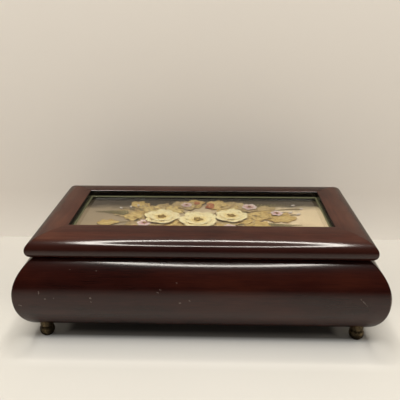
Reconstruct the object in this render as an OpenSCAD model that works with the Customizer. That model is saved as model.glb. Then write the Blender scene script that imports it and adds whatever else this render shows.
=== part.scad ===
// Musical jewellery box: a bombe case on ball feet, a glazed picture lid and an 18-note
// cylinder movement that is wound from below. Millimetres.
// The origin is the middle of the footprint, on the surface that the feet stand on.
// +X is the box's right, +Y its back, where the hinges are, and +Z is up.

/* [Case] */
// Width of the case at its widest line
case_w = 212; // [200:1:240]
// Depth of the case at its widest line
case_d = 115.2; // [106.8:0.2:140]
// Height of the case from its underside to its rim
case_h = 44.5; // [41:0.5:50]
// Height of the widest line above the underside
bulge_h = 23.5; // [22.5:0.5:26]
// Inward radius of the curve above the widest line
bulge_r = 25; // [24:0.5:28]
// Share of that curve's full height at which the rim cuts it off
rim_share = 0.84; // [0.7:0.01:0.86]
// How far the curve below the widest line runs in
under_run = 17.3; // [16:0.1:18.5]
// Fullness of that curve: 2 is an ellipse, and more is squarer
under_fullness = 2.15; // [2:0.05:2.8]
// Thickness of a moulding at its widest line
moulding_t = 19.5; // [19:0.5:22]

/* [Base] */
// Thickness of the base panel
base_t = 3.4; // [2.6:0.2:5]
// Wood left below the panel's groove
groove_lip = 2.1; // [1.6:0.1:3]
// Depth of the panel's groove
groove_depth = 3; // [2:0.5:4]

/* [Feet] */
// Diameter of a ball foot
foot_d = 8.8; // [8:0.1:12]
// Radius of the flat that each ball stands on
foot_flat_r = 1.5; // [1:0.1:2]
// Height from the top of the ball to the case's underside
foot_neck_h = 0.96; // [0.8:0.02:2]
// Radius of the collar above the ball
foot_collar_r = 3.8; // [2.4:0.1:4]
// Distance of a foot's centre from the widest line of the case's end
foot_inset_x = 13.1; // [12:0.1:14.9]
// Distance of a foot's centre from the widest line of the case's front or back
foot_inset_y = 14.8; // [12:0.1:14.9]
// Radius of the stud that goes into the wood
foot_stud_r = 1.5; // [1:0.1:2]
// Length of the stud
foot_stud_l = 8; // [5:0.5:11]

/* [Lid] */
// How far the lid's widest line stands out over the rim
lid_over = 3.84; // [3.5:0.02:4.2]
// Gap between the rim and the closed lid
lid_gap = 0.4; // [0.3:0.05:0.6]
// Height of the lid's widest line above its underside
nose_h = 4.3; // [4:0.1:5]
// How far the curve below the widest line runs in
nose_run = 3.5; // [3:0.1:3.6]
// Height of the crown above the widest line
crown_h = 8.2; // [8:0.1:10]
// How far the crown's curve runs in
crown_run = 18.5; // [16:0.1:19]
// Width of a rail from its widest line to the opening
rail_w = 20.9; // [20.4:0.1:22.8]
// Radius of the opening's top edge
opening_edge_r = 0.8; // [0.4:0.1:1.2]
// Thickness of the lip over the glass
lip_t = 4.5; // [3.6:0.1:4.6]
// Width of the rebate behind the lip
rebate_w = 3.5; // [3:0.1:4]

/* [Lid filling] */
// Thickness of the glass at its edge
glass_edge_t = 1.4; // [1:0.1:2]
// Height of the glass's raised field above its edge
bevel_h = 1.4; // [0.8:0.1:2]
// Width of the bevel
bevel_w = 4.5; // [3:0.1:6]
// Height of the spacer between the glass and the card
spacer_h = 3; // [2.4:0.1:3.2]
// Thickness of the picture card
card_t = 1; // [0.6:0.1:1.2]
// Thickness of the backing panel
backing_t = 1.6; // [1.2:0.1:1.8]
// Thickness of the lining under the lid
lid_lining_t = 0.9; // [0.6:0.1:1]
// Thickness of the pressed leaves
leaf_h = 0.4; // [0.2:0.1:0.6]
// Thickness of the pressed blossoms
blossom_h = 1; // [0.4:0.1:1.6]

/* [Hinges] */
// Distance of a hinge's middle from the widest line of the case's end
hinge_inset = 46; // [40:1:62]
// Length of a hinge
hinge_l = 26; // [24:0.5:32]
// Radius of the knuckle
knuckle_r = 1.5; // [1.3:0.05:1.6]
// Radius of the pin
hinge_pin_r = 0.7; // [0.5:0.05:0.8]
// Running clearance between the pin and its knuckles
hinge_play = 0.08; // [0.04:0.01:0.1]
// Thickness of a leaf
leaf_t = 0.8; // [0.6:0.05:0.9]
// Width of a leaf from the pin's centre
leaf_w = 8.6; // [8:0.1:9.4]
// How far the pin's centre stands out behind the rim
hinge_out = 2.84; // [2.7:0.02:3.2]
// Length of a hinge screw
hinge_screw_l = 6; // [4:0.5:7]
// Shank radius of a hinge screw
hinge_screw_r = 0.8; // [0.6:0.05:0.9]

/* [Inside] */
// Width of the bay that holds the movement
bay_w = 43; // [42:0.5:50]
// Thickness of the partition beside the movement
partition_t = 3; // [2:0.5:4]
// Depth from the rim to the top of the partition and of the cover
cover_drop = 6; // [5:0.25:6.5]
// Thickness of the clear cover
cover_t = 2; // [1.5:0.25:2.5]
// Section of the ledges that the cover lies on
ledge_t = 2; // [1.5:0.1:2.4]
// Thickness of the floor lining
floor_t = 1; // [0.6:0.1:2]
// Thickness of the wall linings
lining_t = 1.2; // [0.8:0.1:2]
// Depth from the rim to the top of the wall linings
lining_drop = 2.5; // [1.5:0.25:5]
// Number of ring rolls
roll_count = 4; // [2:1:5]
// Width of one ring roll
roll_w = 12; // [9:0.5:13]
// Height of a ring roll
roll_h = 22; // [16:0.5:26]
// Gap between ring rolls
roll_gap = 0.6; // [0.4:0.1:1]
// Thickness of the divider beside the ring rolls
divider_t = 2; // [1.5:0.5:3]

/* [Movement] */
// Thickness of the bedplate
bed_t = 2.5; // [2:0.1:2.8]
// Radius of the winding arbor
arbor_r = 2; // [1.8:0.1:2.2]
// Running clearance of the shafts
run_gap = 0.06; // [0.03:0.01:0.09]
// Module of the crown wheel and the cylinder pinion
drive_module = 0.6625; // [0.64:0.0025:0.68]
// Teeth of the crown wheel
crown_teeth = 40; // [40:1:40]
// Teeth of the cylinder pinion
pinion_teeth = 12; // [12:1:12]
// Width of the crown wheel's toothed ring
crown_face = 2.4; // [2:0.1:2.6]
// Thickness of the crown wheel's disc
crown_disc_t = 1.5; // [1.2:0.1:1.8]
// Height of the hub between the bedplate and the crown wheel
crown_hub_h = 1.5; // [1.4:0.1:2]
// Radius of the spring housing
housing_r = 11; // [10.6:0.1:11.1]
// Height of the spring housing
housing_h = 10; // [9:0.5:11]
// Wall of the spring housing
housing_wall = 0.8; // [0.6:0.1:1]
// Radius of the cylinder
drum_r = 6.2; // [5.6:0.1:6.4]
// Notes on the comb
notes = 18; // [14:1:18]
// Distance between neighbouring notes
note_pitch = 1; // [0.9:0.05:1.05]
// Height of the cylinder's pins
pin_h = 0.8; // [0.5:0.05:0.8]
// Radius of a cylinder pin
pin_r = 0.22; // [0.15:0.01:0.25]
// Radius of the cylinder arbor
shaft_r = 1; // [0.8:0.05:1.1]
// Length of the comb from the tips to its back edge
comb_l = 12.8; // [12:0.2:14]
// Thickness of the comb's teeth
comb_t = 0.9; // [0.6:0.05:1.1]
// Width of the slot between two comb teeth
comb_slot = 0.22; // [0.15:0.01:0.3]

/* [Governor] */
// Module of the cylinder gear and the governor pinion
fine_module = 0.3; // [0.29:0.005:0.31]
// Teeth of the cylinder gear
gear_teeth = 44; // [44:1:44]
// Teeth of the governor pinion
governor_teeth = 10; // [10:1:10]
// Width of the fine gears
gear_face = 1.2; // [0.9:0.1:1.5]
// Module of the worm wheel
worm_module = 0.4; // [0.38:0.005:0.42]
// Teeth of the worm wheel
worm_teeth = 24; // [24:1:24]
// Pitch radius of the worm
worm_r = 1.4; // [1.3:0.05:1.5]
// Radius of the governor's pivots
pivot_r = 0.5; // [0.4:0.05:0.6]
// Thickness of the governor's plates
plate_t = 1; // [0.8:0.1:1.2]
// Height of the governor frame over the bedplate
governor_h = 15.7; // [15.2:0.1:16.5]
// Radius of the fan
fan_r = 4.8; // [3.5:0.1:4.9]
// Height of the fan
fan_h = 5.4; // [4:0.1:5.6]

/* [Winding key and stop] */
// Width across the key's wings
key_w = 23; // [18:0.5:28]
// Height of the key's wings
key_h = 6.4; // [5:0.1:6.8]
// Thickness of the key's wings
key_t = 1.6; // [1.2:0.1:2.4]
// Gap between the key and the surface that the box stands on
key_lift = 1.8; // [1.5:0.1:2.2]
// Radius of the key's hub
key_hub_r = 3.4; // [3:0.1:4]
// Radius of the stop wire
wire_r = 0.6; // [0.4:0.05:0.7]
// How far the stop wire rises when the lid opens
stop_travel = 3; // [2:0.25:3]

/* [Hidden] */

$fn = 48;
eps = 0.01;
cut = 1;                 // how far a cutter runs past the face it opens
fit_gap = 0.2;           // between boards and what they fit into
soft_gap = 0.3;          // around soft pieces
bore_gap = 0.1;          // around studs and screws
shadow_gap = 0.15;       // between parts that turn past each other

// Heights above the surface
foot_r = foot_d / 2;
foot_z = sqrt(pow(foot_r, 2) - pow(foot_flat_r, 2));
case_z0 = foot_z + foot_r + foot_neck_h;
bulge_z = case_z0 + bulge_h;
rim_z = case_z0 + case_h;
rim_angle = asin(rim_share);
bulge_rise = (case_h - bulge_h) / rim_share;
rim_in = bulge_r * (1 - cos(rim_angle));
base_z0 = case_z0 + groove_lip;
base_z1 = base_z0 + base_t;
lid_z0 = rim_z + lid_gap;
nose_z = lid_z0 + nose_h;
lid_z1 = nose_z + crown_h;

// The room inside the case and the lid's outline
half_w = case_w / 2;
half_d = case_d / 2;
room_x = half_w - moulding_t;
room_y = half_d - moulding_t;
lid_x = half_w - rim_in + lid_over;
lid_y = half_d - rim_in + lid_over;
open_x = lid_x - rail_w;
open_y = lid_y - rail_w;
rebate_x = open_x + rebate_w;
rebate_y = open_y + rebate_w;

// The lid's filling, from the lip down
lip_z = lid_z1 - lip_t;
glass_z0 = lip_z - glass_edge_t;
card_z1 = glass_z0 - spacer_h;
card_z0 = card_z1 - card_t;
backing_z0 = card_z0 - backing_t;
lining_z0 = backing_z0 - lid_lining_t;

// Feet
foot_seat_in = min(foot_inset_x, foot_inset_y) - foot_collar_r - bore_gap;
foot_seat_z = under_z(foot_seat_in);
foot_collar_z = foot_z + sqrt(pow(foot_r, 2) - pow(foot_collar_r, 2));

// Hinges
hinge_y = half_d - rim_in + hinge_out;
hinge_z = rim_z + lid_gap / 2;
leaf_gap = 0.1;          // from the pin's centre plane to a leaf
knuckles = 5;
hinge_x = half_w - hinge_inset;
knuckle_l = hinge_l / knuckles;
hinge_screw_head_r = 2 * hinge_screw_r;
hinge_screw_y = hinge_y - leaf_w * 0.62;
hinge_screw_step = hinge_l / 3;

// Inside
bay_x1 = -room_x + bay_w;
well_x0 = bay_x1 + partition_t;
floor_z1 = base_z1 + floor_t;
cover_z1 = rim_z - cover_drop;
cover_z0 = cover_z1 - cover_t;
lining_z1 = rim_z - lining_drop;
lined_x = room_x - fit_gap / 2 - lining_t;
lined_y = room_y - fit_gap / 2 - lining_t;
rolls_x1 = lined_x - soft_gap;
rolls_x0 = rolls_x1 - roll_count * roll_w - (roll_count - 1) * roll_gap;
divider_x1 = rolls_x0 - soft_gap;
divider_drop = 4;        // from the top of the rolls down to the top of the divider

// Movement: u runs along +Y of the box, v along -X, and w is up from the base panel
crown_r = crown_teeth * drive_module / 2;
pinion_r = pinion_teeth * drive_module / 2;
crown_z0 = bed_t + crown_hub_h;
crown_z1 = crown_z0 + crown_disc_t;
crown_root = 0.9 * drive_module;
crown_tip = 0.8 * drive_module;
axis_z = crown_z1 + crown_root + pinion_r;
crown_out_r = crown_r + crown_face / 2;
crown_in_r = crown_r - crown_face / 2;
housing_z0 = crown_z1 + crown_root + crown_tip + 0.8;
housing_z1 = housing_z0 + housing_h;
arbor_neck_r = 0.75 * arbor_r;
leg_t = 3;
leg_w = 5;
leg_in_r = crown_out_r + 0.8;
leg_out_r = leg_in_r + leg_t;
lug_end = crown_in_r - 0.3;
drum_u0 = crown_out_r + 0.5;
drum_end = 0.5;          // from the end of the drum to the first and last notes
drum_l = notes * note_pitch + 2 * drum_end;
gear_u0 = drum_u0 + drum_l;
gear_r = gear_teeth * fine_module / 2;
governor_r = governor_teeth * fine_module / 2;
mesh_slack = 0.05;       // added to the distance between meshing shafts
governor_v = gear_r + governor_r + mesh_slack;
worm_wheel_r = worm_teeth * worm_module / 2;
worm_tip = 0.38;
worm_dip = 0.45;
worm_out_r = worm_r + worm_tip;
worm_v = governor_v + worm_wheel_r + worm_r + mesh_slack;
inner_plate_u = gear_u0 + gear_face + 0.35;
worm_u = inner_plate_u + plate_t + 0.3 + worm_out_r;
outer_plate_u = worm_u + worm_out_r + 0.3;
governor_z1 = bed_t + governor_h;
frame_foot_t = 1.2;
frame_v0 = -3.5;
bearing_side = 3;        // metal beside a bearing
frame_v1 = worm_v + worm_out_r + 0.4;
fan_z0 = governor_z1 + 0.3;
fan_hub_r = 1.2;
fan_cap_t = 0.4;         // metal of the hub left above the shaft's end
pin_top_r = drum_r + pin_h;
comb_v0 = pin_top_r + 0.12;
comb_v1 = comb_v0 + comb_l;
comb_base_l = 6.8;
comb_base_t = 1.8;
bed_edge = 0.3;
bed_u0 = -leg_out_r - bed_edge;
bed_u1 = outer_plate_u + plate_t + 0.5;
bed_v0 = -comb_v1 - bed_edge;
bed_v1 = leg_out_r + bed_edge;
bay_side_gap = 1.8;
mov_x = -room_x + bay_side_gap + bed_v1;
mov_y = -(bed_u0 + bed_u1) / 2;
mov_screw_r = 1.4;
mov_screw_in = 4;        // from the bedplate's edges to its screws
mov_screws = [[bed_u0 + mov_screw_in, bed_v0 + mov_screw_in], [bed_u0 + mov_screw_in, bed_v1 - mov_screw_in],
    [bed_u1 - 2 * mov_screw_in, bed_v0 + mov_screw_in]];
comb_screw_in = 3.5;     // depth of the comb's screws below its middle plane
lug_r = 2.2;             // from the cylinder arbor to the lug's sides

// Stop wire: its rod stands in front of the fan, under the lid's left rail
rod_x = -rebate_x - 1;
rod_y = mov_y + worm_u - fan_r - 4 * wire_r;
rod_z1 = lid_z0 - soft_gap;
hub_z1 = base_z1 + fan_z0 + fan_h;
pad_z0 = hub_z1 + shadow_gap;
pad_h = 0.5;
arm_z = pad_z0 + pad_h + wire_r;
stop_spring_h = 2.55;
guide_h = 8;
guide_z1 = arm_z - wire_r - stop_spring_h;
guide_z0 = guide_z1 - guide_h;
rod_z0 = guide_z0 - stop_travel;

// The pressed spray: [x, y, turn, length]. x and y are shares of the opening's half sizes,
// and a length is a share of its half depth.
LEAVES = [[-0.50, 0.10, 170, 0.70], [-0.44, 0.42, 140, 0.63], [-0.40, -0.30, 205, 0.63],
    [-0.66, -0.34, 190, 0.49], [-0.20, 0.45, 100, 0.45], [0, -0.35, 250, 0.52], [0.16, 0.40, 62, 0.52],
    [0.30, -0.25, -28, 0.74], [0.38, 0.25, 24, 0.70], [0.46, -0.02, -4, 0.84]];
// The blossoms: [x, y, turn, radius], in the same shares
BLOSSOMS = [[-0.30, 0.02, 10, 0.32], [-0.05, -0.12, 40, 0.35], [0.20, 0.06, 0, 0.30],
    [-0.46, -0.42, 25, 0.16], [0.40, 0.52, 50, 0.175], [0.62, 0.16, 15, 0.14], [-0.14, 0.62, 35, 0.126],
    [0.22, -0.62, 20, 0.147]];

// Height of the case's lower curve at a distance in from the widest line
function under_z(inwards) =
    bulge_z - bulge_h * pow(1 - pow((under_run - inwards) / under_run, under_fullness), 1 / under_fullness);

// Points of a quarter ellipse: from [a, 0] at the start to [0, b] at the end, about its corner.
// A fullness over 2 makes it a squarer superellipse.
function quarter(a, b, steps, fullness = 2) = [for (i = [0 : steps])
    [a * pow(cos(90 * i / steps), 2 / fullness), b * pow(sin(90 * i / steps), 2 / fullness)]];

// Section of a case moulding: x is the distance in from the widest line, y the height
function case_section() = concat(
    [for (p = quarter(under_run, bulge_h, 24, under_fullness)) [under_run - p[0], bulge_z - p[1]]],
    [[moulding_t, case_z0], [moulding_t, base_z0], [moulding_t - groove_depth, base_z0],
        [moulding_t - groove_depth, base_z1], [moulding_t, base_z1], [moulding_t, rim_z]],
    [for (i = [14 : -1 : 1]) let (a = rim_angle * i / 14)
        [bulge_r * (1 - cos(a)), bulge_z + bulge_rise * sin(a)]]);

// Section of a lid rail, in the same terms
function lid_section() = concat(
    [for (p = quarter(nose_run, nose_h, 8)) [nose_run - p[0], nose_z - p[1]]],
    [[rail_w - rebate_w, lid_z0], [rail_w - rebate_w, lip_z], [rail_w, lip_z]],
    [for (p = quarter(opening_edge_r, opening_edge_r, 4))
        [rail_w - opening_edge_r + p[0], lid_z1 - opening_edge_r + p[1]]],
    [for (i = [16 : -1 : 1]) let (a = 90 * i / 16)
        [crown_run * (1 - cos(a)), nose_z + crown_h * sin(a)]]);

// A moulding along X at the front, mitred at both ends
module mitred_rail(section, along, across, reach, top) {
    intersection() {
        translate([-along, -across, 0]) rotate([90, 0, 90]) linear_extrude(2 * along) polygon(section);
        translate([0, 0, -cut]) linear_extrude(top + 2 * cut)
            polygon([[-along - cut, -across - cut], [along + cut, -across - cut],
                [along - reach, -across + reach], [-along + reach, -across + reach]]);
    }
}

module case_rail(along, across) { mitred_rail(case_section(), along, across, moulding_t + eps, rim_z); }

module lid_rail(along, across) { mitred_rail(lid_section(), along, across, rail_w + eps, lid_z1); }

// Puts a front piece on the left side
module on_left() { rotate([0, 0, -90]) children(); }

module on_right() { mirror([1, 0, 0]) on_left() children(); }

module on_back() { mirror([0, 1, 0]) children(); }

module at_foot(sx, sy) {
    translate([sx * (half_w - foot_inset_x), sy * (half_d - foot_inset_y), 0]) children();
}

module foot_holes() {
    for (sx = [-1, 1], sy = [-1, 1]) at_foot(sx, sy) {
        cylinder(h = foot_seat_z, r = foot_collar_r + bore_gap);
        cylinder(h = foot_seat_z + foot_stud_l + bore_gap, r = foot_stud_r + bore_gap);
    }
}

module at_hinges() { for (s = [-1, 1]) translate([s * hinge_x, hinge_y, hinge_z]) children(); }

// Room for the knuckle and one leaf; side is 1 in the lid and -1 in the case
module hinge_mortise(side) {
    l = hinge_l + 2 * bore_gap;
    depth = leaf_gap + leaf_t;
    at_hinges() {
        translate([-l / 2, -leaf_w - bore_gap, side > 0 ? -cut : -depth]) cube([l, leaf_w + cut, depth + cut]);
        rotate([0, 90, 0]) cylinder(h = l, r = knuckle_r + shadow_gap, center = true);
    }
}

module hinge_pilots(side) {
    for (s = [-1, 1], i = [-1 : 1])
        translate([s * hinge_x + i * hinge_screw_step, hinge_screw_y, hinge_z])
            mirror([0, 0, side > 0 ? 0 : 1])
                cylinder(h = leaf_gap + hinge_screw_l + bore_gap, r = hinge_screw_r + bore_gap / 2);
}

module case_front_rail() {
    color("#3a1210") difference() { case_rail(half_w, half_d); foot_holes(); }
}

module case_back_rail() {
    color("#3a1210") difference() {
        on_back() case_rail(half_w, half_d);
        foot_holes();
        hinge_mortise(-1);
        hinge_pilots(-1);
    }
}

module case_left_rail() {
    color("#3a1210") difference() { on_left() case_rail(half_d, half_w); foot_holes(); }
}

module case_right_rail() {
    color("#3a1210") difference() { on_right() case_rail(half_d, half_w); foot_holes(); }
}

// A board centred on the box: half sizes, then its bottom and top
module board(hx, hy, z0, z1) { translate([-hx, -hy, z0]) cube([2 * hx, 2 * hy, z1 - z0]); }

// A board from one corner to the other
module slab(low, high) { translate(low) cube(high - low); }

module base_panel() {
    grip = groove_depth - fit_gap;
    color("#6b4a33") difference() {
        board(room_x + grip, room_y + grip, base_z0, base_z1);
        in_movement() {
            translate([0, 0, -base_t - cut]) cylinder(h = base_t + 2 * cut, r = arbor_r + 1);
            for (p = mov_screws) translate([p[0], p[1], -base_t - cut])
                cylinder(h = base_t + 2 * cut, r = mov_screw_r + bore_gap);
        }
    }
}

module ball_foot(sx, sy) {
    color("#6e5a33") at_foot(sx, sy) {
        intersection() {
            translate([0, 0, foot_z]) sphere(r = foot_r);
            translate([0, 0, foot_d / 2]) cube(foot_d, center = true);
        }
        translate([0, 0, foot_collar_z]) cylinder(h = foot_seat_z - foot_collar_z, r = foot_collar_r);
        translate([0, 0, foot_z]) cylinder(h = foot_seat_z + foot_stud_l - foot_z, r = foot_stud_r);
    }
}

module foot_front_left() { ball_foot(-1, -1); }
module foot_front_right() { ball_foot(1, -1); }
module foot_back_left() { ball_foot(-1, 1); }
module foot_back_right() { ball_foot(1, 1); }

module movement_partition() {
    y = room_y - fit_gap / 2;
    color("#5a1420") slab([bay_x1, -y, base_z1], [well_x0, y, cover_z1]);
}

module ring_divider() {
    y = lined_y - fit_gap / 2;
    color("#5a1420") slab([divider_x1 - divider_t, -y, floor_z1], [divider_x1, y, floor_z1 + roll_h - divider_drop]);
}

module floor_lining() {
    color("#7c1d2c") slab([well_x0 + fit_gap, -room_y + fit_gap / 2, base_z1],
        [room_x - fit_gap / 2, room_y - fit_gap / 2, floor_z1]);
}

module lining_front() {
    color("#7c1d2c") slab([well_x0 + fit_gap, -lined_y - lining_t, floor_z1],
        [room_x - fit_gap / 2, -lined_y, lining_z1]);
}

module lining_back() {
    color("#7c1d2c") on_back() slab([well_x0 + fit_gap, -lined_y - lining_t, floor_z1],
        [room_x - fit_gap / 2, -lined_y, lining_z1]);
}

module lining_right() {
    y = lined_y - fit_gap / 2;
    color("#7c1d2c") slab([lined_x, -y, floor_z1], [lined_x + lining_t, y, lining_z1]);
}

// Bars with round tops that grip rings between them
module ring_rolls() {
    l = 2 * (lined_y - soft_gap);
    color("#8a2433") for (i = [0 : roll_count - 1])
        translate([rolls_x0 + i * (roll_w + roll_gap) + roll_w / 2, l / 2, floor_z1])
            rotate([90, 0, 0]) linear_extrude(l) union() {
                translate([-roll_w / 2, 0]) square([roll_w, roll_h - roll_w / 2]);
                translate([0, roll_h - roll_w / 2]) circle(r = roll_w / 2);
            }
}

module cover_ledges() {
    y = room_y - fit_gap;
    color("#6b4a33") {
        slab([-room_x, -y, cover_z0 - 2 * ledge_t], [-room_x + ledge_t, y, cover_z0]);
        slab([bay_x1 - ledge_t, -y, cover_z0 - 2 * ledge_t], [bay_x1, y, cover_z0]);
    }
}

module movement_cover() {
    color([0.9, 0.95, 0.95, 0.3]) difference() {
        slab([-room_x + fit_gap, -room_y + fit_gap, cover_z0], [bay_x1 - fit_gap, room_y - fit_gap, cover_z1]);
        translate([rod_x, rod_y, cover_z0 - cut]) cylinder(h = cover_t + 2 * cut, r = wire_r + soft_gap);
    }
}

// One hinge leaf about its pin. mine lists the knuckles that it carries, and side is as above.
module hinge_leaf(s, mine, side) {
    reach = knuckle_r + shadow_gap;
    z0 = side > 0 ? leaf_gap : -leaf_gap - leaf_t;
    translate([s * hinge_x, hinge_y, hinge_z]) difference() {
        union() {
            translate([-hinge_l / 2, -leaf_w, z0]) cube([hinge_l, leaf_w - reach, leaf_t]);
            for (i = mine) translate([(i - knuckles / 2) * knuckle_l + bore_gap / 2, 0, 0]) {
                rotate([0, 90, 0]) cylinder(h = knuckle_l - bore_gap, r = knuckle_r);
                translate([0, -reach - eps, z0]) cube([knuckle_l - bore_gap, reach + eps, leaf_t]);
            }
        }
        rotate([0, 90, 0]) cylinder(h = hinge_l + 2 * cut, r = hinge_pin_r + hinge_play, center = true);
        for (i = [-1 : 1]) translate([i * hinge_screw_step, hinge_screw_y - hinge_y, z0]) {
            translate([0, 0, -cut]) cylinder(h = leaf_t + 2 * cut, r = hinge_screw_r + bore_gap);
            translate([0, 0, side > 0 ? -eps : 0]) cylinder(h = leaf_t + eps,
                r1 = (side > 0 ? hinge_screw_head_r : hinge_screw_r) + bore_gap,
                r2 = (side > 0 ? hinge_screw_r : hinge_screw_head_r) + bore_gap);
        }
    }
}

module hinge_left_lower_leaf() { color("#b08d4a") hinge_leaf(-1, [0, 2, 4], -1); }
module hinge_left_upper_leaf() { color("#b08d4a") hinge_leaf(-1, [1, 3], 1); }
module hinge_right_lower_leaf() { color("#b08d4a") hinge_leaf(1, [0, 2, 4], -1); }
module hinge_right_upper_leaf() { color("#b08d4a") hinge_leaf(1, [1, 3], 1); }

module hinge_pins() {
    color("#c2a25c") at_hinges() rotate([0, 90, 0]) cylinder(h = hinge_l, r = hinge_pin_r, center = true);
}

module hinge_screws(side) {
    for (s = [-1, 1], i = [-1 : 1])
        translate([s * hinge_x + i * hinge_screw_step, hinge_screw_y, hinge_z])
            mirror([0, 0, side > 0 ? 0 : 1]) translate([0, 0, leaf_gap]) {
                cylinder(h = leaf_t, r1 = hinge_screw_head_r, r2 = hinge_screw_r);
                cylinder(h = hinge_screw_l, r = hinge_screw_r);
            }
}

module hinge_screws_case() { color("#b08d4a") hinge_screws(-1); }
module hinge_screws_lid() { color("#b08d4a") hinge_screws(1); }

module lid_front_rail() { color("#421614") lid_rail(lid_x, lid_y); }

module lid_back_rail() {
    color("#421614") difference() {
        on_back() lid_rail(lid_x, lid_y);
        hinge_mortise(1);
        hinge_pilots(1);
    }
}

module lid_left_rail() { color("#421614") on_left() lid_rail(lid_y, lid_x); }
module lid_right_rail() { color("#421614") on_right() lid_rail(lid_y, lid_x); }

// The pane has a flat edge under the lip and a raised field with a bevel all round
module glass_pane() {
    tilt = atan(bevel_h / bevel_w);
    fx = open_x - fit_gap;
    fy = open_y - fit_gap;
    long = 4 * fx;
    color([0.75, 0.85, 0.8, 0.35]) union() {
        board(rebate_x - fit_gap, rebate_y - fit_gap, glass_z0, lip_z);
        difference() {
            board(fx, fy, lip_z - eps, lip_z + bevel_h);
            for (s = [0, 1]) mirror([s, 0, 0]) translate([fx, 0, lip_z]) rotate([0, tilt, 0])
                translate([-3 * bevel_w, -long / 2, 0]) cube([6 * bevel_w, long, 3 * bevel_h]);
            for (s = [0, 1]) mirror([0, s, 0]) translate([0, fy, lip_z]) rotate([-tilt, 0, 0])
                translate([-long / 2, -3 * bevel_w, 0]) cube([long, 6 * bevel_w, 3 * bevel_h]);
        }
    }
}

module spacer_frame() {
    color("#1c1613") difference() {
        board(rebate_x - fit_gap, rebate_y - fit_gap, card_z1, glass_z0);
        board(open_x, open_y, card_z1 - cut, glass_z0 + cut);
    }
}

module picture_card() { color("#e6d9bd") board(rebate_x - fit_gap, rebate_y - fit_gap, card_z0, card_z1); }
module backing_panel() { color("#7a5b3e") board(rebate_x - fit_gap, rebate_y - fit_gap, backing_z0, card_z0); }
module lid_lining() { color("#7c1d2c") board(rebate_x - fit_gap, rebate_y - fit_gap, lining_z0, backing_z0); }

// A leaf with a scalloped edge, from its stem end along +X
module leaf_outline(l) {
    n = 28;
    half = function (t) 0.3 * l * pow(sin(180 * t), 0.7) * (1 + 0.16 * cos(360 * 4 * t));
    polygon(concat([for (i = [0 : n]) [l * i / n, half(i / n)]],
        [for (i = [n - 1 : -1 : 1]) [l * i / n, -half(i / n)]]));
}

// A blossom of five round petals
module blossom_outline(r) {
    polygon([for (i = [0 : 49]) let (a = 360 * i / 50)
        r * (0.62 + 0.38 * abs(cos(2.5 * a))) * [cos(a), sin(a)]]);
}

module pressed_leaves() {
    color("#b08f4c") translate([0, 0, card_z1]) linear_extrude(leaf_h) for (p = LEAVES)
        translate([p[0] * open_x, p[1] * open_y]) rotate(p[2]) leaf_outline(p[3] * open_y);
}

module pressed_blossoms() {
    color("#efe2ab") translate([0, 0, card_z1 + leaf_h]) linear_extrude(blossom_h) for (p = BLOSSOMS)
        translate([p[0] * open_x, p[1] * open_y]) rotate(p[2]) blossom_outline(p[3] * open_y);
}

module in_movement() { translate([mov_x, mov_y, base_z1]) rotate([0, 0, 90]) children(); }

// A shaft along u
module shaft_u(u0, u1, r, v = 0) { translate([u0, v, axis_z]) rotate([0, 90, 0]) cylinder(h = u1 - u0, r = r); }

// Outline of a spur gear with straight-sided teeth. A tooth points along +X when turn is 0.
module spur_outline(teeth, r, tip, dip, turn) {
    step = 360 / teeth;
    root_share = 0.46;
    pitch_share = 0.36;
    tip_share = 0.18;
    polygon([for (k = [0 : teeth - 1], p = [[-root_share, r - dip], [-pitch_share, r], [-tip_share, r + tip],
            [tip_share, r + tip], [pitch_share, r], [root_share, r - dip]])
        let (a = turn + step * (k + p[0] / 2)) p[1] * [cos(a), sin(a)]]);
}

// A spur gear whose axis lies along u
module spur_u(u0, l, v, teeth, r, tip, dip, turn, bore) {
    translate([u0, v, axis_z]) rotate([90, 0, 90]) difference() {
        linear_extrude(l) spur_outline(teeth, r, tip, dip, turn);
        translate([0, 0, -cut]) cylinder(h = l + 2 * cut, r = bore);
    }
}

module bedplate() {
    color("#b9a05e") in_movement() difference() {
        union() {
            translate([bed_u0, bed_v0, 0]) cube([bed_u1 - bed_u0, bed_v1 - bed_v0, bed_t]);
            translate([drum_u0 + drum_end, -comb_v1, bed_t - eps])
                cube([notes * note_pitch, comb_base_l, axis_z - comb_t / 2 - bed_t + eps]);
        }
        translate([0, 0, -cut]) cylinder(h = bed_t + 2 * cut, r = arbor_r + run_gap);
        for (p = mov_screws) translate([p[0], p[1], -cut]) cylinder(h = bed_t + 2 * cut, r = mov_screw_r + bore_gap / 2);
        for (x = leg_places()) rotate(x) translate([leg_in_r + leg_t / 2, 0, -cut]) cylinder(h = bed_t + 2 * cut, r = 0.65);
        for (p = comb_screw_places()) translate([p[0], p[1], axis_z - comb_screw_in - cut])
            cylinder(h = comb_screw_in + 2 * cut, r = 0.85);
        for (p = frame_screw_places()) translate([p[0], p[1], -cut]) cylinder(h = bed_t + 2 * cut, r = 0.65);
    }
}

function leg_places() = [90, 180, 270];
function comb_screw_places() = [for (s = [0.2, 0.8]) [drum_u0 + drum_end + s * notes * note_pitch, -comb_v1 + 2.6]];
function frame_screw_places() = [for (v = [-1.8, 1.4]) [(inner_plate_u + plate_t + outer_plate_u) / 2, v]];

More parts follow.
